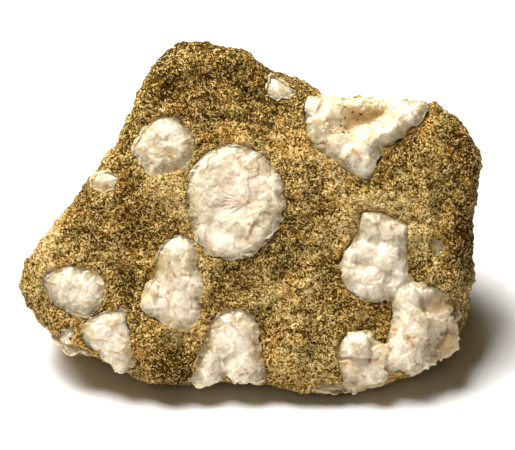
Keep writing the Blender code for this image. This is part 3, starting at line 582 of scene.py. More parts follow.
@dataclass
class Groundmass:
    """The broken stone: the solid's shape under lumps, chips and grit."""

    material: bpy.types.Material
    node: str = "basalt_matrix"
    voxel: float = 0.50
    swells: tuple[float, float] = (12.0, 0.85)
    lump: tuple[float, float] = (4.6, 0.58)
    chip: tuple[float, float] = (2.4, 0.44)
    grit: tuple[float, float] = (1.1, 0.22)
    side_share: float = 1.8
    # Lobe tones: partly the stone's own darker and paler patches, partly painted shade, darker on the
    # top and on the right-hand side strip.
    dips: tuple[Lobe, ...] = lobe_rows(
        (-12.0, 31.0, 44.0, 28.0, 0.0, -0.42), (2.0, 21.0, 14.0, 12.0, 0.0, -0.25, -30.0),
        (-14.5, -31.0, 11.0, 12.0, 0.0, -0.5), (8.0, -36.0, 34.0, 12.0, 0.0, -0.3),
        (41.0, 2.0, 12.0, 50.0, 0.0, -0.25), (-20.0, -2.0, 14.0, 24.0, 0.0, -0.2, 30.0),
        (10.0, -6.0, 12.0, 10.0, 0.0, 0.08), (26.0, 3.0, 12.0, 8.0, 0.0, 0.12),
        (8.0, -24.0, 16.0, 16.0, 0.0, -0.1), (-14.4, -25.0, 8.0, 7.0, -1.5),
        (-19.0, -31.0, 9.0, 5.0, 0.7), (24.6, 12.4, 2.6, 2.6, -1.4), (29.4, 8.0, 5.0, 4.0, -0.9),
        (33.0, 12.0, 7.0, 6.0, 0.9), (37.0, 3.0, 5.0, 12.0, -1.1, 0.0, 12.0),
        (32.5, -6.5, 5.5, 6.0, -0.8), (-14.0, 24.0, 12.0, 6.0, -0.9, 0.0, 30.0),
        (-4.0, 30.0, 8.0, 6.0, 0.8), (3.0, 21.0, 10.0, 5.0, -0.8, 0.0, -35.0),
        (-27.0, -4.0, 9.0, 7.0, 0.7), (-24.0, 3.0, 8.0, 3.5, -0.8, 0.0, 40.0),
        (10.0, -24.0, 7.0, 9.0, 0.8), (12.0, -33.0, 9.0, 4.0, -0.9), (9.5, 6.0, 9.0, 7.0, 0.6),
        (6.5, -12.0, 9.0, 6.0, -0.6, 0.0, 20.0),
    )
    front_depth: float = 5.0
    rim_middle: float = 0.75
    rim_width: float = 0.25
    gap: float = 0.35

    def build(self) -> Item:
        """Return the finished stone, riding on the specimen's body."""
        item = copy_of_node(self.node, "broken_basalt")
        even_out(item, self.voxel)
        soften(item, 2)
        settle(item)
        mesh = item.data
        points = read_points(mesh)
        fillings = [other.data for name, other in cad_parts.items() if name != self.node]
        away = distances(tree_of(fillings), points, 3.0)
        bare = smooth_step(away, self.gap + 0.1, self.gap + 0.8)
        broad, fine = self.relief(points)
        at = BrokenFace.from_world(points)
        depth = -at[:, 2]
        front = smooth_step(read_normals(mesh) @ BrokenFace.out, 0.2, 0.7)
        rougher = 1.0 + (self.side_share - 1.0) * smooth_step(depth, 1.0, self.front_depth)
        relief = broad + rougher * fine
        resting = smooth_step(points[:, 2], 0.0, 1.5)
        move = relief * resting * (0.7 + 0.3 * bare)
        patch = np.zeros(len(points))
        for dip in self.dips:
            share = swelling(at, dip) ** 2
            move = move + dip.rise * share * front * bare
            # patch: partly own tone, partly painted shade on the top and the right-hand side strip.
            patch = patch + dip.tone * share
        points = points + read_normals(mesh) * move[:, None]
        points[:, 2] = np.maximum(points[:, 2], 0.0)
        write_points(mesh, points)
        open_stone = smooth_step(away, 0.5, 0.85)
        write_attributes(
            mesh,
            patch=patch,
            # relief also sets the colour: painted shade in the low parts, paler on the raised parts.
            relief=np.clip(relief / 0.6, -1.0, 1.0),
            bare=open_stone * resting * (1.0 - 0.5 * smooth_step(depth, 2.0, 9.0)),
            rim=np.exp(-(((away - self.rim_middle) / self.rim_width) ** 2)),
        )
        mesh.materials.append(self.material)
        mesh.shade_smooth()
        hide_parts(self.node)
        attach(item, BODY)
        return item

    def relief(self, points: Array) -> tuple[Array, Array]:
        """Return the heights of the broad and the fine relief above the solid, at points."""
        lumps = self.lump[1] * cloud(points, self.lump[0], 1.0)
        bent = points + 0.5 * np.stack([cloud(points, 2.0, seed, 2) for seed in (2.0, 3.0, 4.0)], axis=1)
        broken = self.chip[1] * (np.minimum(chips(bent, self.chip[0], 1.0), 0.7) - 0.3)
        grit = self.grit[1] * cloud(points, self.grit[0], 5.0, 2)
        wide = self.swells[1] * cloud(points, self.swells[0], 6.0, 2)
        return wide + lumps, broken + grit


class Habit(Enum):
    """How the crystals of a filling look: their size, tilt and how deep their seams are."""

    MASSIVE = (3.8, 0.028, 0.025)
    BLOCKY = (2.8, 0.045, 0.035)
    SUGARY = (1.5, 0.065, 0.035)


@dataclass
class Amygdale:
    """One filled gas bubble: crystal grains that grew together and were broken through."""

    node: str
    habit: Habit = Habit.BLOCKY
    lobes: tuple[Lobe, ...] = ()
    marks: tuple[Mark, ...] = ()
    slot: str = "zeolite"
    stains: float = 0.35
    net: float = 0.2
    close: float = 1.0
    keep: float = 0.8
    sunk: float = 0.36
    ragged: tuple[float, float] = (1.5, 1.1)
    slope: float = 2.4
    lip: tuple[float, float] = (1.3, 0.08)
    lobe_share: float = 0.17
    small: float = 0.36
    dome: float = 0.02
    sharp: float = 0.045
    tries: int = 5000
    flat: float = 1.0
    level: float = 0.5
    presses: int = 300
    seam_width: float = 0.10
    rim_width: float = 0.35

    def build(self, material: bpy.types.Material, stone: BVHTree) -> Item:
        """Make the filling.

        Args:
            material: its finish.
            stone: the finished stone's surface.

        Returns:
            The finished piece, riding on the specimen's body.
        """
        chance = random.Random(self.node)
        name = self.node.replace("amygdale", "crystals").replace("vug", "hollow")
        item = copy_of_node(self.node, name)
        even_out(item, self.net * 1.5)
        swell(item, self.close)
        even_out(item, self.net * 1.5)
        swell(item, self.keep - self.close)
        even_out(item, self.net)
        soften(item, 4)
        settle(item)
        mesh = item.data
        write_points(mesh, self.press(mesh))
        write_points(mesh, self.meet(mesh, stone, self.slope, 0.0))
        soften(item, 8)
        settle(item)
        mesh = item.data
        points = read_points(mesh)
        normals = read_normals(mesh)
        height, tone, seam = self.grow(points, normals, chance)
        at = BrokenFace.from_world(points)
        front = smooth_step(normals @ BrokenFace.out, 0.0, 0.5)
        stain = np.zeros(len(points))
        tint = np.zeros(len(points))
        for lobe in self.lobes:
            raised = swelling(at, lobe)
            height = height + self.lobe_share * lobe.rise * raised * front
            # Positive lobe tones make the crystals paler; negative ones give tan, partly the crystals'
            # own tan and partly painted shade in the dips and gaps.
            tint = tint + lobe.tone * raised * smooth_step(at[:, 2], -12.0, -8.0)
        for mark in self.marks:
            near = self.nearness(at, mark) * front
            height = height - 0.5 * mark.groove * near
            stain = np.maximum(stain, mark.stain * near)
        ragged = np.minimum(cloud(points, self.ragged[0], chance.random() * SEED_REACH, 3), 0.2)
        height = height - self.sunk * front + self.ragged[1] * ragged * (1.0 - front)
        patches = smooth_step(cloud(points, 2.6, chance.random() * SEED_REACH), 0.15, 0.6)
        stain = np.maximum(stain, self.stains * patches * seam)
        points = points + normals * height[:, None]
        points[:, 2] = np.maximum(points[:, 2], 0.0)
        write_points(mesh, points)
        points = self.meet(mesh, stone, self.lip[0], self.lip[1])
        write_points(mesh, points)
        inside = distances(stone, points, 6.0)
        write_attributes(
            mesh,
            tone=np.clip(tone + np.maximum(tint, 0.0), 0.0, 1.6),
            # Tan: the own colour of the hollow and some crystals, and painted shade in the dips and
            # gaps.
            tan=np.clip(-tint, 0.0, 1.0),
            seam=seam * 0.45,
            stain=stain,
            inside=inside,
            rim=np.exp(-((inside / self.rim_width) ** 2)),
        )
        mesh.materials.append(material)
        mesh.shade_smooth()
        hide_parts(self.node)
        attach(item, BODY)
        return item

    def press(self, mesh: Mesh) -> Array:
        """Return a mesh's points with its blocks pressed flatter on the broken face."""
        edges = np.empty(len(mesh.edges) * 2, dtype=np.int32)
        mesh.edges.foreach_get("vertices", edges)
        first, last = edges.reshape(-1, 2).T
        points = read_points(mesh)
        total = len(points)
        count = np.maximum(np.bincount(edges, minlength=total), 1)
        at = BrokenFace.from_world(points)
        front = smooth_step(read_normals(mesh) @ BrokenFace.out, 0.0, 0.5)
        height = at[:, 2].copy()
        for _ in range(self.presses):
            near = np.bincount(first, height[last], total) + np.bincount(last, height[first], total)
            height += 0.5 * front * (near / count - height)
        ground = np.stack([at[:, 0], at[:, 1], np.ones(total)], axis=1)
        plane = np.linalg.lstsq(ground * front[:, None], height * front, rcond=None)[0]
        height += self.level * front * (ground @ plane - height)
        at[:, 2] += self.flat * (height - at[:, 2])
        return BrokenFace.to_world(at)

    @staticmethod
    def meet(mesh: Mesh, stone: BVHTree, reach: float, lip: float) -> Array:
        """Lower a mesh to the stone's level where it is close to the stone.

        Args:
            mesh: the filling.
            stone: the stone's surface.
            reach: how far from the stone this has an effect.
            lip: how much may stand above the stone.

        Returns:
            The mesh's new points, in millimetres.
        """
        points = read_points(mesh)
        normals = read_normals(mesh)
        lift = np.zeros(len(points))
        for index, spot in enumerate(points.tolist()):
            near, _, _, away = stone.find_nearest(Vector(spot), reach)
            if near is not None:
                above = (Vector(spot) - near).dot(Vector(normals[index]))
                share = away / reach
                lift[index] = max(above - lip, 0.0) * (1.0 - share * share * (3.0 - 2.0 * share))
        return points - normals * lift[:, None]

    def grow(self, points: Array, normals: Array, chance: random.Random):
        """Spread crystals over the surface, small facets on larger ones.

        Args:
            points: the surface's points.
            normals: the normals there.
            chance: the filling's own random numbers.

        Returns:
            For each point the height of its crystal, the crystal's tone and how near a seam it is.
        """
        size, tilt, seam_depth = self.habit.value
        push = [cloud(points, 2.0, seed + chance.random(), 2) for seed in (1.0, 2.0, 3.0)]
        bent = points + 0.35 * np.stack(push, axis=1)
        height, tone, seam = self.facets(bent, normals, size, tilt, chance)
        small, small_tone, small_seam = self.facets(bent, normals, self.small * size, 1.6 * tilt, chance)
        swells = cloud(points, 3.4, chance.random() * SEED_REACH, 3)
        height = height + small + 0.06 * swells - seam_depth * seam - 0.4 * seam_depth * small_seam
        tone = 0.55 * tone + 0.45 * small_tone
        broken = smooth_step(cloud(points, 2.2, chance.random() * SEED_REACH, 3), -0.05, 0.35)
        return height, tone, np.maximum(seam, 0.35 * small_seam) * broken

    def facets(self, points: Array, normals: Array, size: float, tilt: float, chance):
        """Spread flat crystal faces of one size over points.

        Args:
            points: the places, in millimetres.
            normals: the surface's normals there.
            size: how wide the faces are.
            tilt: how much they lean.
            chance: random numbers.

        Returns:
            For each point its face's height, the face's tone and how near a seam it is.
        """
        order = list(range(len(points)))
        chance.shuffle(order)
        seeds: list[int] = []
        kept = np.empty((0, 3))
        for index in order[: self.tries]:
            spot = points[index]
            if len(kept) and np.min(np.sum((kept - spot) ** 2, axis=1)) < (0.66 * size) ** 2:
                continue
            seeds.append(index)
            kept = points[seeds]
        count = len(seeds)
        numbers = np.random.default_rng(chance.randrange(10**6))
        lean = numbers.normal(0.0, tilt, (count, 3))
        lean -= normals[seeds] * np.sum(lean * normals[seeds], axis=1)[:, None]
        rise = numbers.uniform(-0.05, 0.05, count) * size
        tones = numbers.uniform(0.0, 1.0, count)
        tree = KDTree(count)
        for index, spot in enumerate(kept.tolist()):
            tree.insert(spot, index)
        tree.balance()
        near = min(3, count)
        found = [tree.find_n(spot, near) for spot in points.tolist()]
        closest = np.array([[item[1] for item in row] for row in found])
        gap = np.array([[item[2] for item in row] for row in found])
        weight = np.exp(-(gap - gap[:, :1]) / self.sharp)
        weight /= weight.sum(axis=1)[:, None]
        offset = points[:, None, :] - kept[closest]
        level = np.sum(offset * lean[closest], axis=2) + rise[closest]
        level += self.dome * (1.0 - np.minimum(gap / size, 1.2) ** 2)
        height = np.sum(weight * level, axis=1)
        tone = np.sum(weight * tones[closest], axis=1)
        seam = np.zeros(len(points))
        if near > 1:
            seam = np.exp(-(((gap[:, 1] - gap[:, 0]) / (2.0 * self.seam_width)) ** 2))
        return height, tone, seam

    @staticmethod
    def nearness(at: Array, mark: Mark) -> Array:
        """Return how near points in u, v, w are to a mark's path: 1 on it, 0 away from it."""
        spots = at[:, :2]
        best = np.full(len(spots), np.inf)
        ends = mark.path if len(mark.path) > 1 else mark.path * 2
        for first, last in zip(ends, ends[1:]):
            start = np.array(first)
            way = np.array(last) - start
            length = float(way @ way)
            share = np.clip((spots - start) @ way / length, 0.0, 1.0) if length else 0.0
            foot = start + np.outer(share, way) if length else start
            best = np.minimum(best, np.linalg.norm(spots - foot, axis=1))
        return np.exp(-((best / mark.width) ** 2))


class GrainShape(Enum):
    """The shapes of the groundmass's grains."""

    LATH = "lath"
    CHIP = "chip"


@dataclass
class GrainScatter:
    """Mineral grains that stand in the broken surface of the stone."""

    name: str
    shape: GrainShape
    density: float
    size: tuple[float, float]
    proportions: tuple[float, float, float]
    sink: float
    seed: int
    finish: GrainFinish
    where: str = "bare"
    slot: str = "basalt"
    lean: float = 0.35

    def tree(self) -> Growth:
        """Return the node tree that spreads the grains over a surface."""
        values = {
            "Grains per square metre": self.density / MM**2,
            "Least size": self.size[0] * MM,
            "Largest size": self.size[1] * MM,
            "Sink": self.sink,
            "Finish": self.finish.build(),
        }
        growth = Growth(self.name, values)
        given = growth.given
        where = growth.add("GeometryNodeInputNamedAttribute", {"Name": self.where}, data_type="FLOAT")[0]
        density = growth.math("MULTIPLY", given["Grains per square metre"], where)
        inputs = {"Mesh": given["Mesh"], "Density": density, "Seed": self.seed}
        spread = growth.add("GeometryNodeDistributePointsOnFaces", inputs)
        least = (-self.lean, -self.lean, 0.0)
        inputs = {0: least, 1: (self.lean, self.lean, 2.0 * math.pi), "Seed": self.seed + 1}
        spin = growth.add("FunctionNodeRandomValue", inputs, data_type="FLOAT_VECTOR")[0]
        inputs = {0: spread["Rotation"], 1: growth.add("FunctionNodeEulerToRotation", {0: spin})[0]}
        rotation = growth.add("FunctionNodeRotateRotation", inputs, rotation_space="LOCAL")[0]
        inputs = {2: given["Least size"], 3: given["Largest size"], "Seed": self.seed + 2}
        size = growth.add("FunctionNodeRandomValue", inputs, data_type="FLOAT")[1]
        inputs = {"Points": spread["Points"], "Instance": self.grain(growth)}
        inputs |= {"Rotation": rotation, "Scale": size}
        placed = growth.add("GeometryNodeInstanceOnPoints", inputs)[0]
        down = growth.add("ShaderNodeCombineXYZ", {2: growth.math("MULTIPLY", given["Sink"], -1.0)})[0]
        inputs = {"Instances": placed, "Translation": down, "Local Space": True}
        sunk = growth.add("GeometryNodeTranslateInstances", inputs)[0]
        growth.close(growth.toned(sunk, "INSTANCE", self.seed + 3))
        return growth

    def grain(self, graph: Graph) -> Socket:
        """Return one grain of size 1, with its proportions."""
        if self.shape is GrainShape.LATH:
            return graph.add("GeometryNodeMeshCube", {"Size": self.proportions})[0]
        ball = graph.add("GeometryNodeMeshIcoSphere", {"Radius": 0.5, "Subdivisions": 1})[0]
        return graph.add("GeometryNodeTransform", {"Geometry": ball, "Scale": self.proportions})[0]

    def build(self, stone: Item) -> Item:
        """Spread the grains over the stone and return them as one piece."""
        item = new_object(self.name, stone.data.copy())
        self.tree().grow(item)
        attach(item, BODY)
        return item


@dataclass
class FibreFan:
    """The fan of pinkish fibres that meet at one point of the large filling."""

    finish: GrainFinish
    meet: Place = (-0.7, 2.4)
    toward: float = 174.0
    spread: float = 38.0
    reach: tuple[float, float] = (2.4, 6.8)
    thickness: float = 0.13
    count: int = 80
    steps: int = 8
    seed: int = 5

    def paths(self, surface: BVHTree) -> Mesh:
        """Return the fibres' middle lines, laid on a surface.

        Args:
            surface: the filling's surface.

        Returns:
            A mesh of edges, one chain for each fibre.
        """
        chance = random.Random(self.seed)
        points: list[tuple[float, ...]] = []
        edges: list[tuple[int, int]] = []
        for _ in range(self.count):
            turn = math.radians(self.toward + self.spread * chance.uniform(-1.0, 1.0))
            length = chance.uniform(*self.reach)
            start = 0.35 * length * chance.random()
            bend = chance.uniform(-0.06, 0.06)
            for step in range(self.steps):
                share = step / (self.steps - 1)
                away = start + (length - start) * share
                angle = turn + bend * share
                u = self.meet[0] + away * math.cos(angle)
                v = self.meet[1] + away * math.sin(angle)
                above = Vector(BrokenFace.to_world(np.array([(u, v, 30.0)]))[0])
                hit = surface.ray_cast(above, Vector(-BrokenFace.out))[0]
                if hit is None:
                    break
                if step:
                    edges.append((len(points) - 1, len(points)))
                points.append(tuple(hit * MM))
        mesh = bpy.data.meshes.new("fibre_paths")
        mesh.from_pydata(points, edges, [])
        return mesh

    def tree(self) -> Growth:
        """Return the node tree that makes a tapered fibre along each path."""
        growth = Growth("fibres", {"Thickness": self.thickness * MM, "Finish": self.finish.build()})
        lines = growth.add("GeometryNodeMeshToCurve", {0: growth.given["Mesh"]})[0]
        along = growth.add("GeometryNodeSplineParameter")["Factor"]
        share = growth.math("MULTIPLY_ADD", along, -0.8, 1.0)
        taper = growth.math("MULTIPLY", share, growth.given["Thickness"])
        ring = growth.add("GeometryNodeCurvePrimitiveCircle", {"Resolution": 4, "Radius": 1.0})[0]
        toned = growth.toned(lines, "CURVE", self.seed)
        inputs = {"Curve": toned, "Profile Curve": ring, "Fill Caps": True, "Scale": taper}
        growth.close(growth.add("GeometryNodeCurveToMesh", inputs)[0])
        return growth

    def build(self, filling: Item) -> Item:
        """Lay the fibres on a filling and return them as one piece."""
        item = new_object("fibre_fan", self.paths(tree_of([filling.data])))
        self.tree().grow(item)
        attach(item, BODY)
        return item


@dataclass(frozen=True)
class Lamp:
    """A soft square light: its place and side in millimetres and its power in watts."""

    name: str
    place: tuple[float, float, float]
    side: float
    power: float
    colour: Colour

    def build(self) -> None:
        """Hang the light so that it points at the specimen."""
        lamp = bpy.data.lights.new(self.name, "AREA")
        lamp.size = self.side * MM
        lamp.energy = self.power
        lamp.color = self.colour
        item = new_object(self.name, lamp)
        item.location = Vector(self.place) * MM
        item.rotation_euler = (-item.location).to_track_quat("-Z", "Y").to_euler()


@dataclass
class Studio:
    """A plain pale floor, soft light and the camera of the photograph."""

    image: tuple[int, int] = (515, 450)
    pixel: float = 0.1927
    aim: Place = (1.445, -1.927)
    lens: float = 200.0
    sensor: float = 36.0
    lamps: tuple[Lamp, ...] = (
        Lamp("key", (-205.0, 95.0, 625.0), 400.0, 10.4, (1.0, 0.985, 0.96)),
        Lamp("front", (-160.0, -560.0, 420.0), 420.0, 0.35, (1.0, 0.90, 0.72)),
    )
    air: Colour = (1.0, 0.58, 0.14)
    air_strength: float = 0.035
    floor_reach: float = 2500.0
    paper: tuple[tuple[float, Colour], ...] = ((0.3, (0.90, 0.90, 0.90)), (0.7, (0.93, 0.93, 0.93)))

    def build(self) -> None:
        """Make the floor, the lights and the camera."""
        self.floor()
        for lamp in self.lamps:
            lamp.build()
        world = bpy.data.worlds.new("soft_room")
        world.use_nodes = True
        background = world.node_tree.nodes["Background"]
        background.inputs["Color"].default_value = (*self.air, 1.0)
        background.inputs["Strength"].default_value = self.air_strength
        bpy.context.scene.world = world
        bpy.context.scene.view_settings.view_transform = "Standard"
        self.camera()

    def floor(self) -> None:
        """Make the floor that the specimen stands on."""
        bm = bmesh.new()
        bmesh.ops.create_grid(bm, x_segments=8, y_segments=8, size=self.floor_reach * MM)
        mesh = bpy.data.meshes.new("pale_floor")
        bm.to_mesh(mesh)
        bm.free()
        item = new_object("pale_floor", mesh)
        shade = Shade("pale_floor")
        paper = shade.cloud(3.0, 4.0)
        colour = shade.ramp(paper, list(self.paper))
        shade.finish(colour, shade.ranged(paper, 0.3, 0.7, 0.8, 0.9), paper, 0.01)
        mesh.materials.append(shade.material)

    def camera(self) -> None:
        """Make the camera, square to the broken face."""
        data = bpy.data.cameras.new("photo_camera")
        data.lens = self.lens
        data.sensor_width = self.sensor
        away = self.image[0] * self.pixel * self.lens / self.sensor
        spot = BrokenFace.to_world(np.array([(*self.aim, away)]))[0]
        item = new_object("photo_camera", data)
        item.location = Vector(spot) * MM
        item.rotation_euler = (math.pi / 2 - BrokenFace.lean, 0.0, 0.0)
        bpy.context.scene.camera = item


def centre() -> Amygdale:
    """Return the large filling, with its petals, wedge and orange stains."""
    lobes = lobe_rows(
        (-9.2, 1.5, 4.2, 4.6, 0.35, 0.1), (-6.2, 0.2, 2.6, 1.8, -0.4, -0.1),
        (-2.5, -1.0, 4.0, 3.2, 0.45, 0.5), (-3.7, -5.0, 7.5, 5.8, 0.45, 0.35),
        (2.5, -0.2, 5.6, 3.0, 0.35, 0.1), (1.9, 5.2, 4.4, 4.0, 0.3, 0.3),
        (-4.2, 9.0, 6.5, 3.6, 0.3, 0.1), (-7.3, 6.0, 3.4, 3.8, 0.25),
        (3.4, -4.6, 3.6, 4.2, 0.25, -0.1), (-3.8, 3.0, 8.4, 6.4, 0.1, 0.8),
    )
    marks = mark_rows(
        (1.6, 0.08, 0.0, (-6.4, 3.8), (-3.4, 3.2), (-0.9, 2.5)),
        (0.8, 0.18, 0.0, (-5.2, 6.4), (-3.2, 5.9)), (0.3, 0.55, 0.15, (-3.8, 6.1), (-3.5, 5.8)),
        (0.6, 0.45, 0.0, (-2.3, 10.8), (-1.3, 9.4)), (0.35, 0.6, 0.0, (-7.7, 9.2), (-7.4, 9.0)),
        (0.3, 0.7, 0.15, (-1.5, 2.8), (-0.2, 2.3)),
        (0.32, 0.55, 0.15, (-0.2, -1.7), (0.5, -2.5), (0.2, -3.8), (-0.7, -4.8)),
        (0.3, 0.5, 0.0, (0.9, -1.6), (0.4, -2.6)), (0.3, 0.12, 0.1, (-6.6, -2.1), (-2.0, -7.6)),
        (0.3, 0.12, 0.1, (-6.6, -2.1), (-0.4, -4.6)),
        (0.3, 0.2, 0.15, (-6.9, -1.4), (-8.8, -1.6), (-10.4, -2.0)),
    )
    return Amygdale("amygdale_centre", Habit.MASSIVE, lobes, marks, stains=0.25)


def upper_left() -> Amygdale:
    """Return the round filling at the upper left, with its dome and tan ridge."""
    lobes = lobe_rows(
        (-16.4, 16.4, 3.9, 3.9, 0.45, 0.5), (-20.6, 15.2, 4.2, 4.4, 0.25, 0.1),
        (-18.2, 11.4, 4.6, 4.2, 0.3, 0.2), (-13.8, 12.0, 3.4, 4.0, 0.25),
    )
    marks = mark_rows(
        (0.25, 0.3, 0.25, (-18.2, 15.6), (-17.2, 14.5), (-15.6, 14.4)),
        (0.35, 0.5, 0.1, (-15.6, 12.0), (-15.0, 10.7)), (0.35, 0.55, 0.0, (-17.3, 13.4), (-17.0, 13.2)),
        (0.4, 0.5, 0.0, (-19.4, 10.1), (-19.2, 9.9)), (0.35, 0.5, 0.0, (-11.9, 13.0), (-11.7, 12.8)),
        (0.35, 0.5, 0.0, (-13.8, 10.5), (-13.6, 10.3)),
        (0.45, 0.3, -0.2, (-21.7, 13.4), (-20.6, 12.5), (-19.8, 11.0)),
    )
    return Amygdale("amygdale_upper_left", Habit.BLOCKY, lobes, marks)


def left_side_group() -> list[Amygdale]:
    """Return the fillings near the left tip and the lower edge."""
    left = Amygdale(
        "amygdale_left",
        Habit.MASSIVE,
        lobe_rows(
            (-35.8, -13.2, 3.8, 3.4, 0.35, 0.5), (-30.3, -14.5, 3.6, 3.8, 0.35, 0.5),
            (-34.9, -10.8, 2.0, 2.0, 0.35, 0.1), (-33.0, -16.6, 3.6, 2.4, 0.25, 0.2),
            (-32.8, -13.8, 13.0, 10.0, 0.0, 0.3),
        ),
        mark_rows((0.3, 0.25, 0.25, (-33.4, -12.0), (-32.6, -14.4), (-33.4, -16.0))),
    )
    lower = Amygdale(
        "amygdale_lower_left",
        Habit.MASSIVE,
        lobe_rows(
            (-29.2, -23.3, 5.6, 5.7, 0.5, 0.4), (-25.9, -21.1, 2.8, 2.4, -0.25, -0.15),
            (-25.2, -28.9, 3.6, 3.8, 0.4, 0.3), (-27.2, -25.6, 12.0, 14.0, 0.0, 0.45),
        ),
        mark_rows((0.3, 0.3, 0.25, (-27.2, -26.4), (-25.4, -26.6), (-23.8, -26.0))),
    )
    small = Amygdale(
        "amygdale_lower_left_small",
        Habit.SUGARY,
        lobe_rows((-34.4, -24.0, 8.0, 8.0, 0.0, 2.0)),
        mark_rows(
            (0.3, 1.8, 0.0, (-34.8, -24.0), (-34.7, -24.1)),
            (0.3, 1.8, 0.0, (-34.0, -23.9), (-33.9, -23.9)),
        ),
        slot="stained_zeolite",
        stains=0.6,
    )
    return [left, lower, small]


def middle() -> Amygdale:
    """Return the bean-shaped filling, with its radial lobe and orange specks."""
    lobes = lobe_rows(
        (-13.8, -7.7, 7.4, 7.8, 0.4, 0.25), (-18.1, -17.9, 3.6, 3.2, 0.35, 0.45),
        (-12.9, -18.5, 6.2, 6.8, 0.4, 0.2), (-15.4, -13.4, 4.0, 3.0, -0.3, -0.2),
    )
    marks = mark_rows(
        (0.2, 0.1, 0.1, (-13.4, -9.1), (-11.2, -5.6)),
        (0.2, 0.1, 0.1, (-13.4, -9.1), (-14.4, -5.2)),
        (0.2, 0.1, 0.1, (-13.4, -9.1), (-16.8, -7.4)),
        (0.35, 0.6, 0.1, (-15.7, -9.1), (-15.2, -10.6), (-14.5, -11.9)),
        (0.35, 0.6, 0.0, (-12.2, -13.6), (-12.0, -13.6)),
        (0.3, 0.6, 0.0, (-11.1, -13.5), (-10.9, -13.5)),
        (0.35, 0.65, 0.0, (-15.8, -15.0), (-15.6, -15.1)),
        (0.3, 0.6, 0.0, (-15.3, -15.8), (-15.1, -15.8)),
        (0.3, 0.4, 0.3, (-13.0, -11.7), (-11.1, -11.7)),
        (0.3, 0.3, 0.25, (-18.0, -15.6), (-15.8, -16.4), (-15.6, -19.8)),
    )
    return Amygdale("amygdale_middle", Habit.MASSIVE, lobes, marks)


def bottom() -> Amygdale:
    """Return the two-legged filling, with its cleft and brown line."""
    lobes = lobe_rows(
        (-1.8, -20.4, 2.6, 2.0, -0.35, -0.2), (-5.8, -24.5, 3.6, 4.2, 0.35, 0.5),
        (-0.8, -26.0, 4.8, 6.0, 0.4, 0.3), (-7.4, -31.0, 4.2, 4.6, 0.35, 0.2),
        (-3.0, -27.0, 16.0, 18.0, 0.0, 0.3),
    )
    marks = mark_rows(
        (0.35, 0.35, 0.45, (-5.8, -27.6), (-5.6, -30.8), (-3.8, -30.4)),
        (0.3, 0.6, 0.15, (-2.0, -31.1), (-0.9, -30.6), (0.6, -30.6)),
        (0.3, 0.6, 0.0, (-1.1, -29.9), (-0.9, -29.9)),
        (0.6, 0.5, 0.0, (1.2, -24.3), (1.8, -26.2), (1.9, -28.1)),
    )
    return Amygdale("amygdale_bottom", Habit.MASSIVE, lobes, marks)


def lower_right() -> Amygdale:
    """Return the three bubbles that ran together at the lower right."""
    # The negative tones give tan: the cluster's own tan crystals, and painted shade in its dark gap and
    # on its side turned from the light.
    lobes = lobe_rows(
        (20.4, -25.4, 6.6, 5.0, 0.35, 0.5), (19.6, -30.0, 3.6, 3.1, 0.3, -0.35),
        (24.3, -30.2, 3.8, 5.1, 0.3, -0.15), (31.3, -25.0, 7.6, 5.5, 0.45, 0.25),
        (37.3, -21.8, 4.4, 5.0, 0.3, 0.1), (38.1, -25.7, 5.1, 6.0, 0.2, -0.4),
        (38.6, -23.0, 9.0, 16.0, 0.0, -0.45), (33.2, -14.5, 5.5, 3.0, 0.35, 0.2),
        (35.6, -16.9, 6.1, 4.8, -2.2, -0.65), (19.6, -34.0, 5.6, 2.5, 0.2, -0.45),
        (24.5, -8.0, 17.0, 20.0, 0.0, 1.0), (22.4, -4.0, 5.0, 5.4, 0.35, 0.3),
        (26.6, -8.2, 5.0, 6.0, 0.3, 0.2), (21.8, -12.4, 4.6, 4.2, 0.3, 0.4),
        (29.6, -19.6, 5.0, 4.6, 0.35, 0.3),
    )
    marks = mark_rows(
        (0.3, 0.2, 0.9, (17.4, -27.8), (23.4, -27.9)), (0.4, 0.6, 0.0, (18.2, -28.9), (18.9, -28.6)),
        (0.35, 0.6, 0.15, (23.2, -28.2), (24.6, -27.9), (25.7, -28.6)),
        (0.45, 0.7, 0.0, (21.8, -31.2), (21.9, -31.3)), (0.5, 0.55, 0.15, (30.4, -23.7), (31.4, -25.1)),
        (0.4, 0.6, 0.0, (27.7, -22.0), (27.8, -22.2)), (0.35, 0.6, 0.0, (33.0, -23.9), (33.1, -24.0)),
        (0.4, 0.18, 0.9, (32.0, -14.5), (34.9, -19.8), (34.9, -24.9), (32.4, -27.6)),
        (0.35, 0.15, 0.7, (27.0, -26.0), (26.4, -28.0), (26.6, -29.9)),
        (0.3, 0.1, 0.8, (22.6, -22.9), (23.6, -25.0), (23.6, -27.4)),
        (0.35, 0.2, 0.8, (38.5, -22.2), (37.2, -24.6), (36.2, -26.0)),
        (0.3, 0.25, 0.25, (24.4, -0.6), (24.9, -4.4), (24.2, -8.6)),
        (0.3, 0.25, 0.25, (19.6, -9.2), (24.2, -10.0), (28.6, -12.4)),
    )
    return Amygdale(
        "amygdale_lower_right", Habit.BLOCKY, lobes, marks, close=0.9, keep=0.66, sunk=0.28, flat=0.75,
        level=0.0, presses=110,
    )


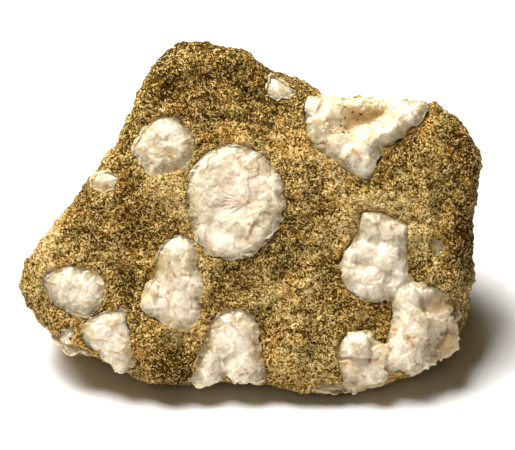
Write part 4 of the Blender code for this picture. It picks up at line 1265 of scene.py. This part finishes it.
def vug() -> Amygdale:
    """Return the crust of the open hollow, tan and speckled inside."""
    lobes = lobe_rows(
        (20.8, 19.2, 17.0, 11.6, -0.3, -1.0), (14.5, 20.2, 7.4, 5.8, 0.3, 0.3),
        (26.6, 16.4, 4.6, 5.6, 0.25, 0.2), (21.9, 22.4, 2.6, 1.6, 0.35, 0.6),
        (17.6, 12.0, 6.0, 4.6, 0.3, 0.1), (22.6, 10.0, 4.6, 4.0, 0.25, 0.1),
    )
    specks = (
        (21.3, 20.9), (21.5, 19.6), (23.8, 20.5), (24.9, 18.3), (17.6, 17.2), (18.0, 16.1),
        (19.1, 16.4), (18.5, 18.7), (18.5, 20.9), (20.2, 19.8), (20.9, 18.4), (23.1, 17.1),
    )
    dots = tuple(Mark((spot, (spot[0] + 0.2, spot[1] - 0.1)), 0.22, 1.7, 0.0) for spot in specks)
    marks = dots + mark_rows(
        (0.3, 0.55, 0.0, (14.5, 19.1), (15.3, 18.2)), (0.3, 0.5, 0.0, (14.2, 15.6), (15.0, 13.5)),
        (0.3, 0.5, 0.0, (11.2, 20.0), (12.5, 19.8)), (0.5, 0.5, 0.0, (20.0, 12.5), (21.2, 11.1)),
    )
    return Amygdale(
        "vug_crust", Habit.MASSIVE, lobes, marks, slot="vug_crystals", close=0.9, keep=0.62, sunk=0.3,
        flat=0.3, level=0.0, presses=60,
    )


def amygdales() -> list[Amygdale]:
    """Return the fillings with what the photograph shows of each."""
    shown = [
        centre(),
        upper_left(),
        *left_side_group(),
        middle(),
        bottom(),
        lower_right(),
        vug(),
        Amygdale("amygdale_left_edge", Habit.SUGARY, lobe_rows((-28.9, 5.9, 9.0, 9.0, 0.0, -0.5))),
        Amygdale("amygdale_small_right", Habit.SUGARY, slot="stained_zeolite", stains=0.6),
        Amygdale("amygdale_top_edge", Habit.SUGARY),
        Amygdale("amygdale_right_edge", Habit.SUGARY),
        Amygdale("amygdale_under_front", Habit.SUGARY, slot="stained_zeolite", stains=0.6),
        Amygdale("amygdale_under_left", Habit.SUGARY, slot="stained_zeolite", stains=0.6),
    ]
    named = {filling.node for filling in shown}
    hidden = sorted(set(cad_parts) - named - {"basalt_matrix"})
    return shown + [Amygdale(node, close=0.95, keep=0.75, level=0.0) for node in hidden]


def grains() -> list[GrainScatter]:
    """Return the mineral grains of the groundmass."""
    lath = GrainFinish("feldspar_laths", (0.22, 0.135, 0.02), (0.80, 0.60, 0.26), (0.3, 0.6))
    dark = GrainFinish("dark_pyroxene", (0.010, 0.006, 0.001), (0.050, 0.030, 0.005), (0.35, 0.6))
    ochre = GrainFinish("weathered_olivine", (0.18, 0.08, 0.01), (0.46, 0.26, 0.05), (0.5, 0.8))
    return [
        GrainScatter("laths", GrainShape.LATH, 1.9, (0.28, 0.65), (1.0, 0.24, 0.2), 0.03, 11, lath),
        GrainScatter("dark_grains", GrainShape.CHIP, 1.0, (0.16, 0.42), (1.0, 0.8, 0.6), 0.12, 12, dark),
        GrainScatter("ochre_grains", GrainShape.CHIP, 0.5, (0.2, 0.45), (1.0, 0.7, 0.5), 0.1, 13, ochre),
    ]


def main() -> None:
    """Build the specimen piece by piece, then the studio."""
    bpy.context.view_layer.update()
    stone = Groundmass(BasaltFinish().build()).build()
    surface = tree_of([stone.data])
    finishes = {
        "zeolite": ZeoliteFinish().build(),
        "stained_zeolite": ZeoliteFinish(
            "stained_zeolite", wall=(0.56, 0.45, 0.27), heart=(0.82, 0.71, 0.53)
        ).build(),
        "vug_crystals": ZeoliteFinish("vug_crystals", tan=(0.90, 0.72, 0.42)).build(),
    }
    pieces = {stone.name: stone}
    for filling in amygdales():
        piece = filling.build(finishes[filling.slot], surface)
        pieces[piece.name] = piece
    for scatter in grains():
        pieces[scatter.name] = scatter.build(stone)
    druse = GrainFinish("hollow_druse", (0.78, 0.60, 0.30), (0.98, 0.86, 0.60), (0.2, 0.4))
    hollow = GrainScatter(
        "hollow_druse", GrainShape.CHIP, 2.2, (0.45, 1.25), (1.0, 0.8, 0.7), 0.22, 14, druse, "tan",
        "vug_crystals",
    )
    pieces[hollow.name] = hollow.build(pieces["hollow_crust"])
    fibre = GrainFinish("pink_fibres", (0.80, 0.42, 0.15), (0.98, 0.90, 0.76), (0.3, 0.5))
    pieces["fibre_fan"] = FibreFan(fibre).build(pieces["crystals_centre"])
    for name, piece in pieces.items():
        piece.data.calc_loop_triangles()
        log.info("%s: %d triangles", name, len(piece.data.loop_triangles))
    Studio().build()


if __name__ == "__main__":
    logging.basicConfig(level=logging.INFO, format="%(message)s")
    main()
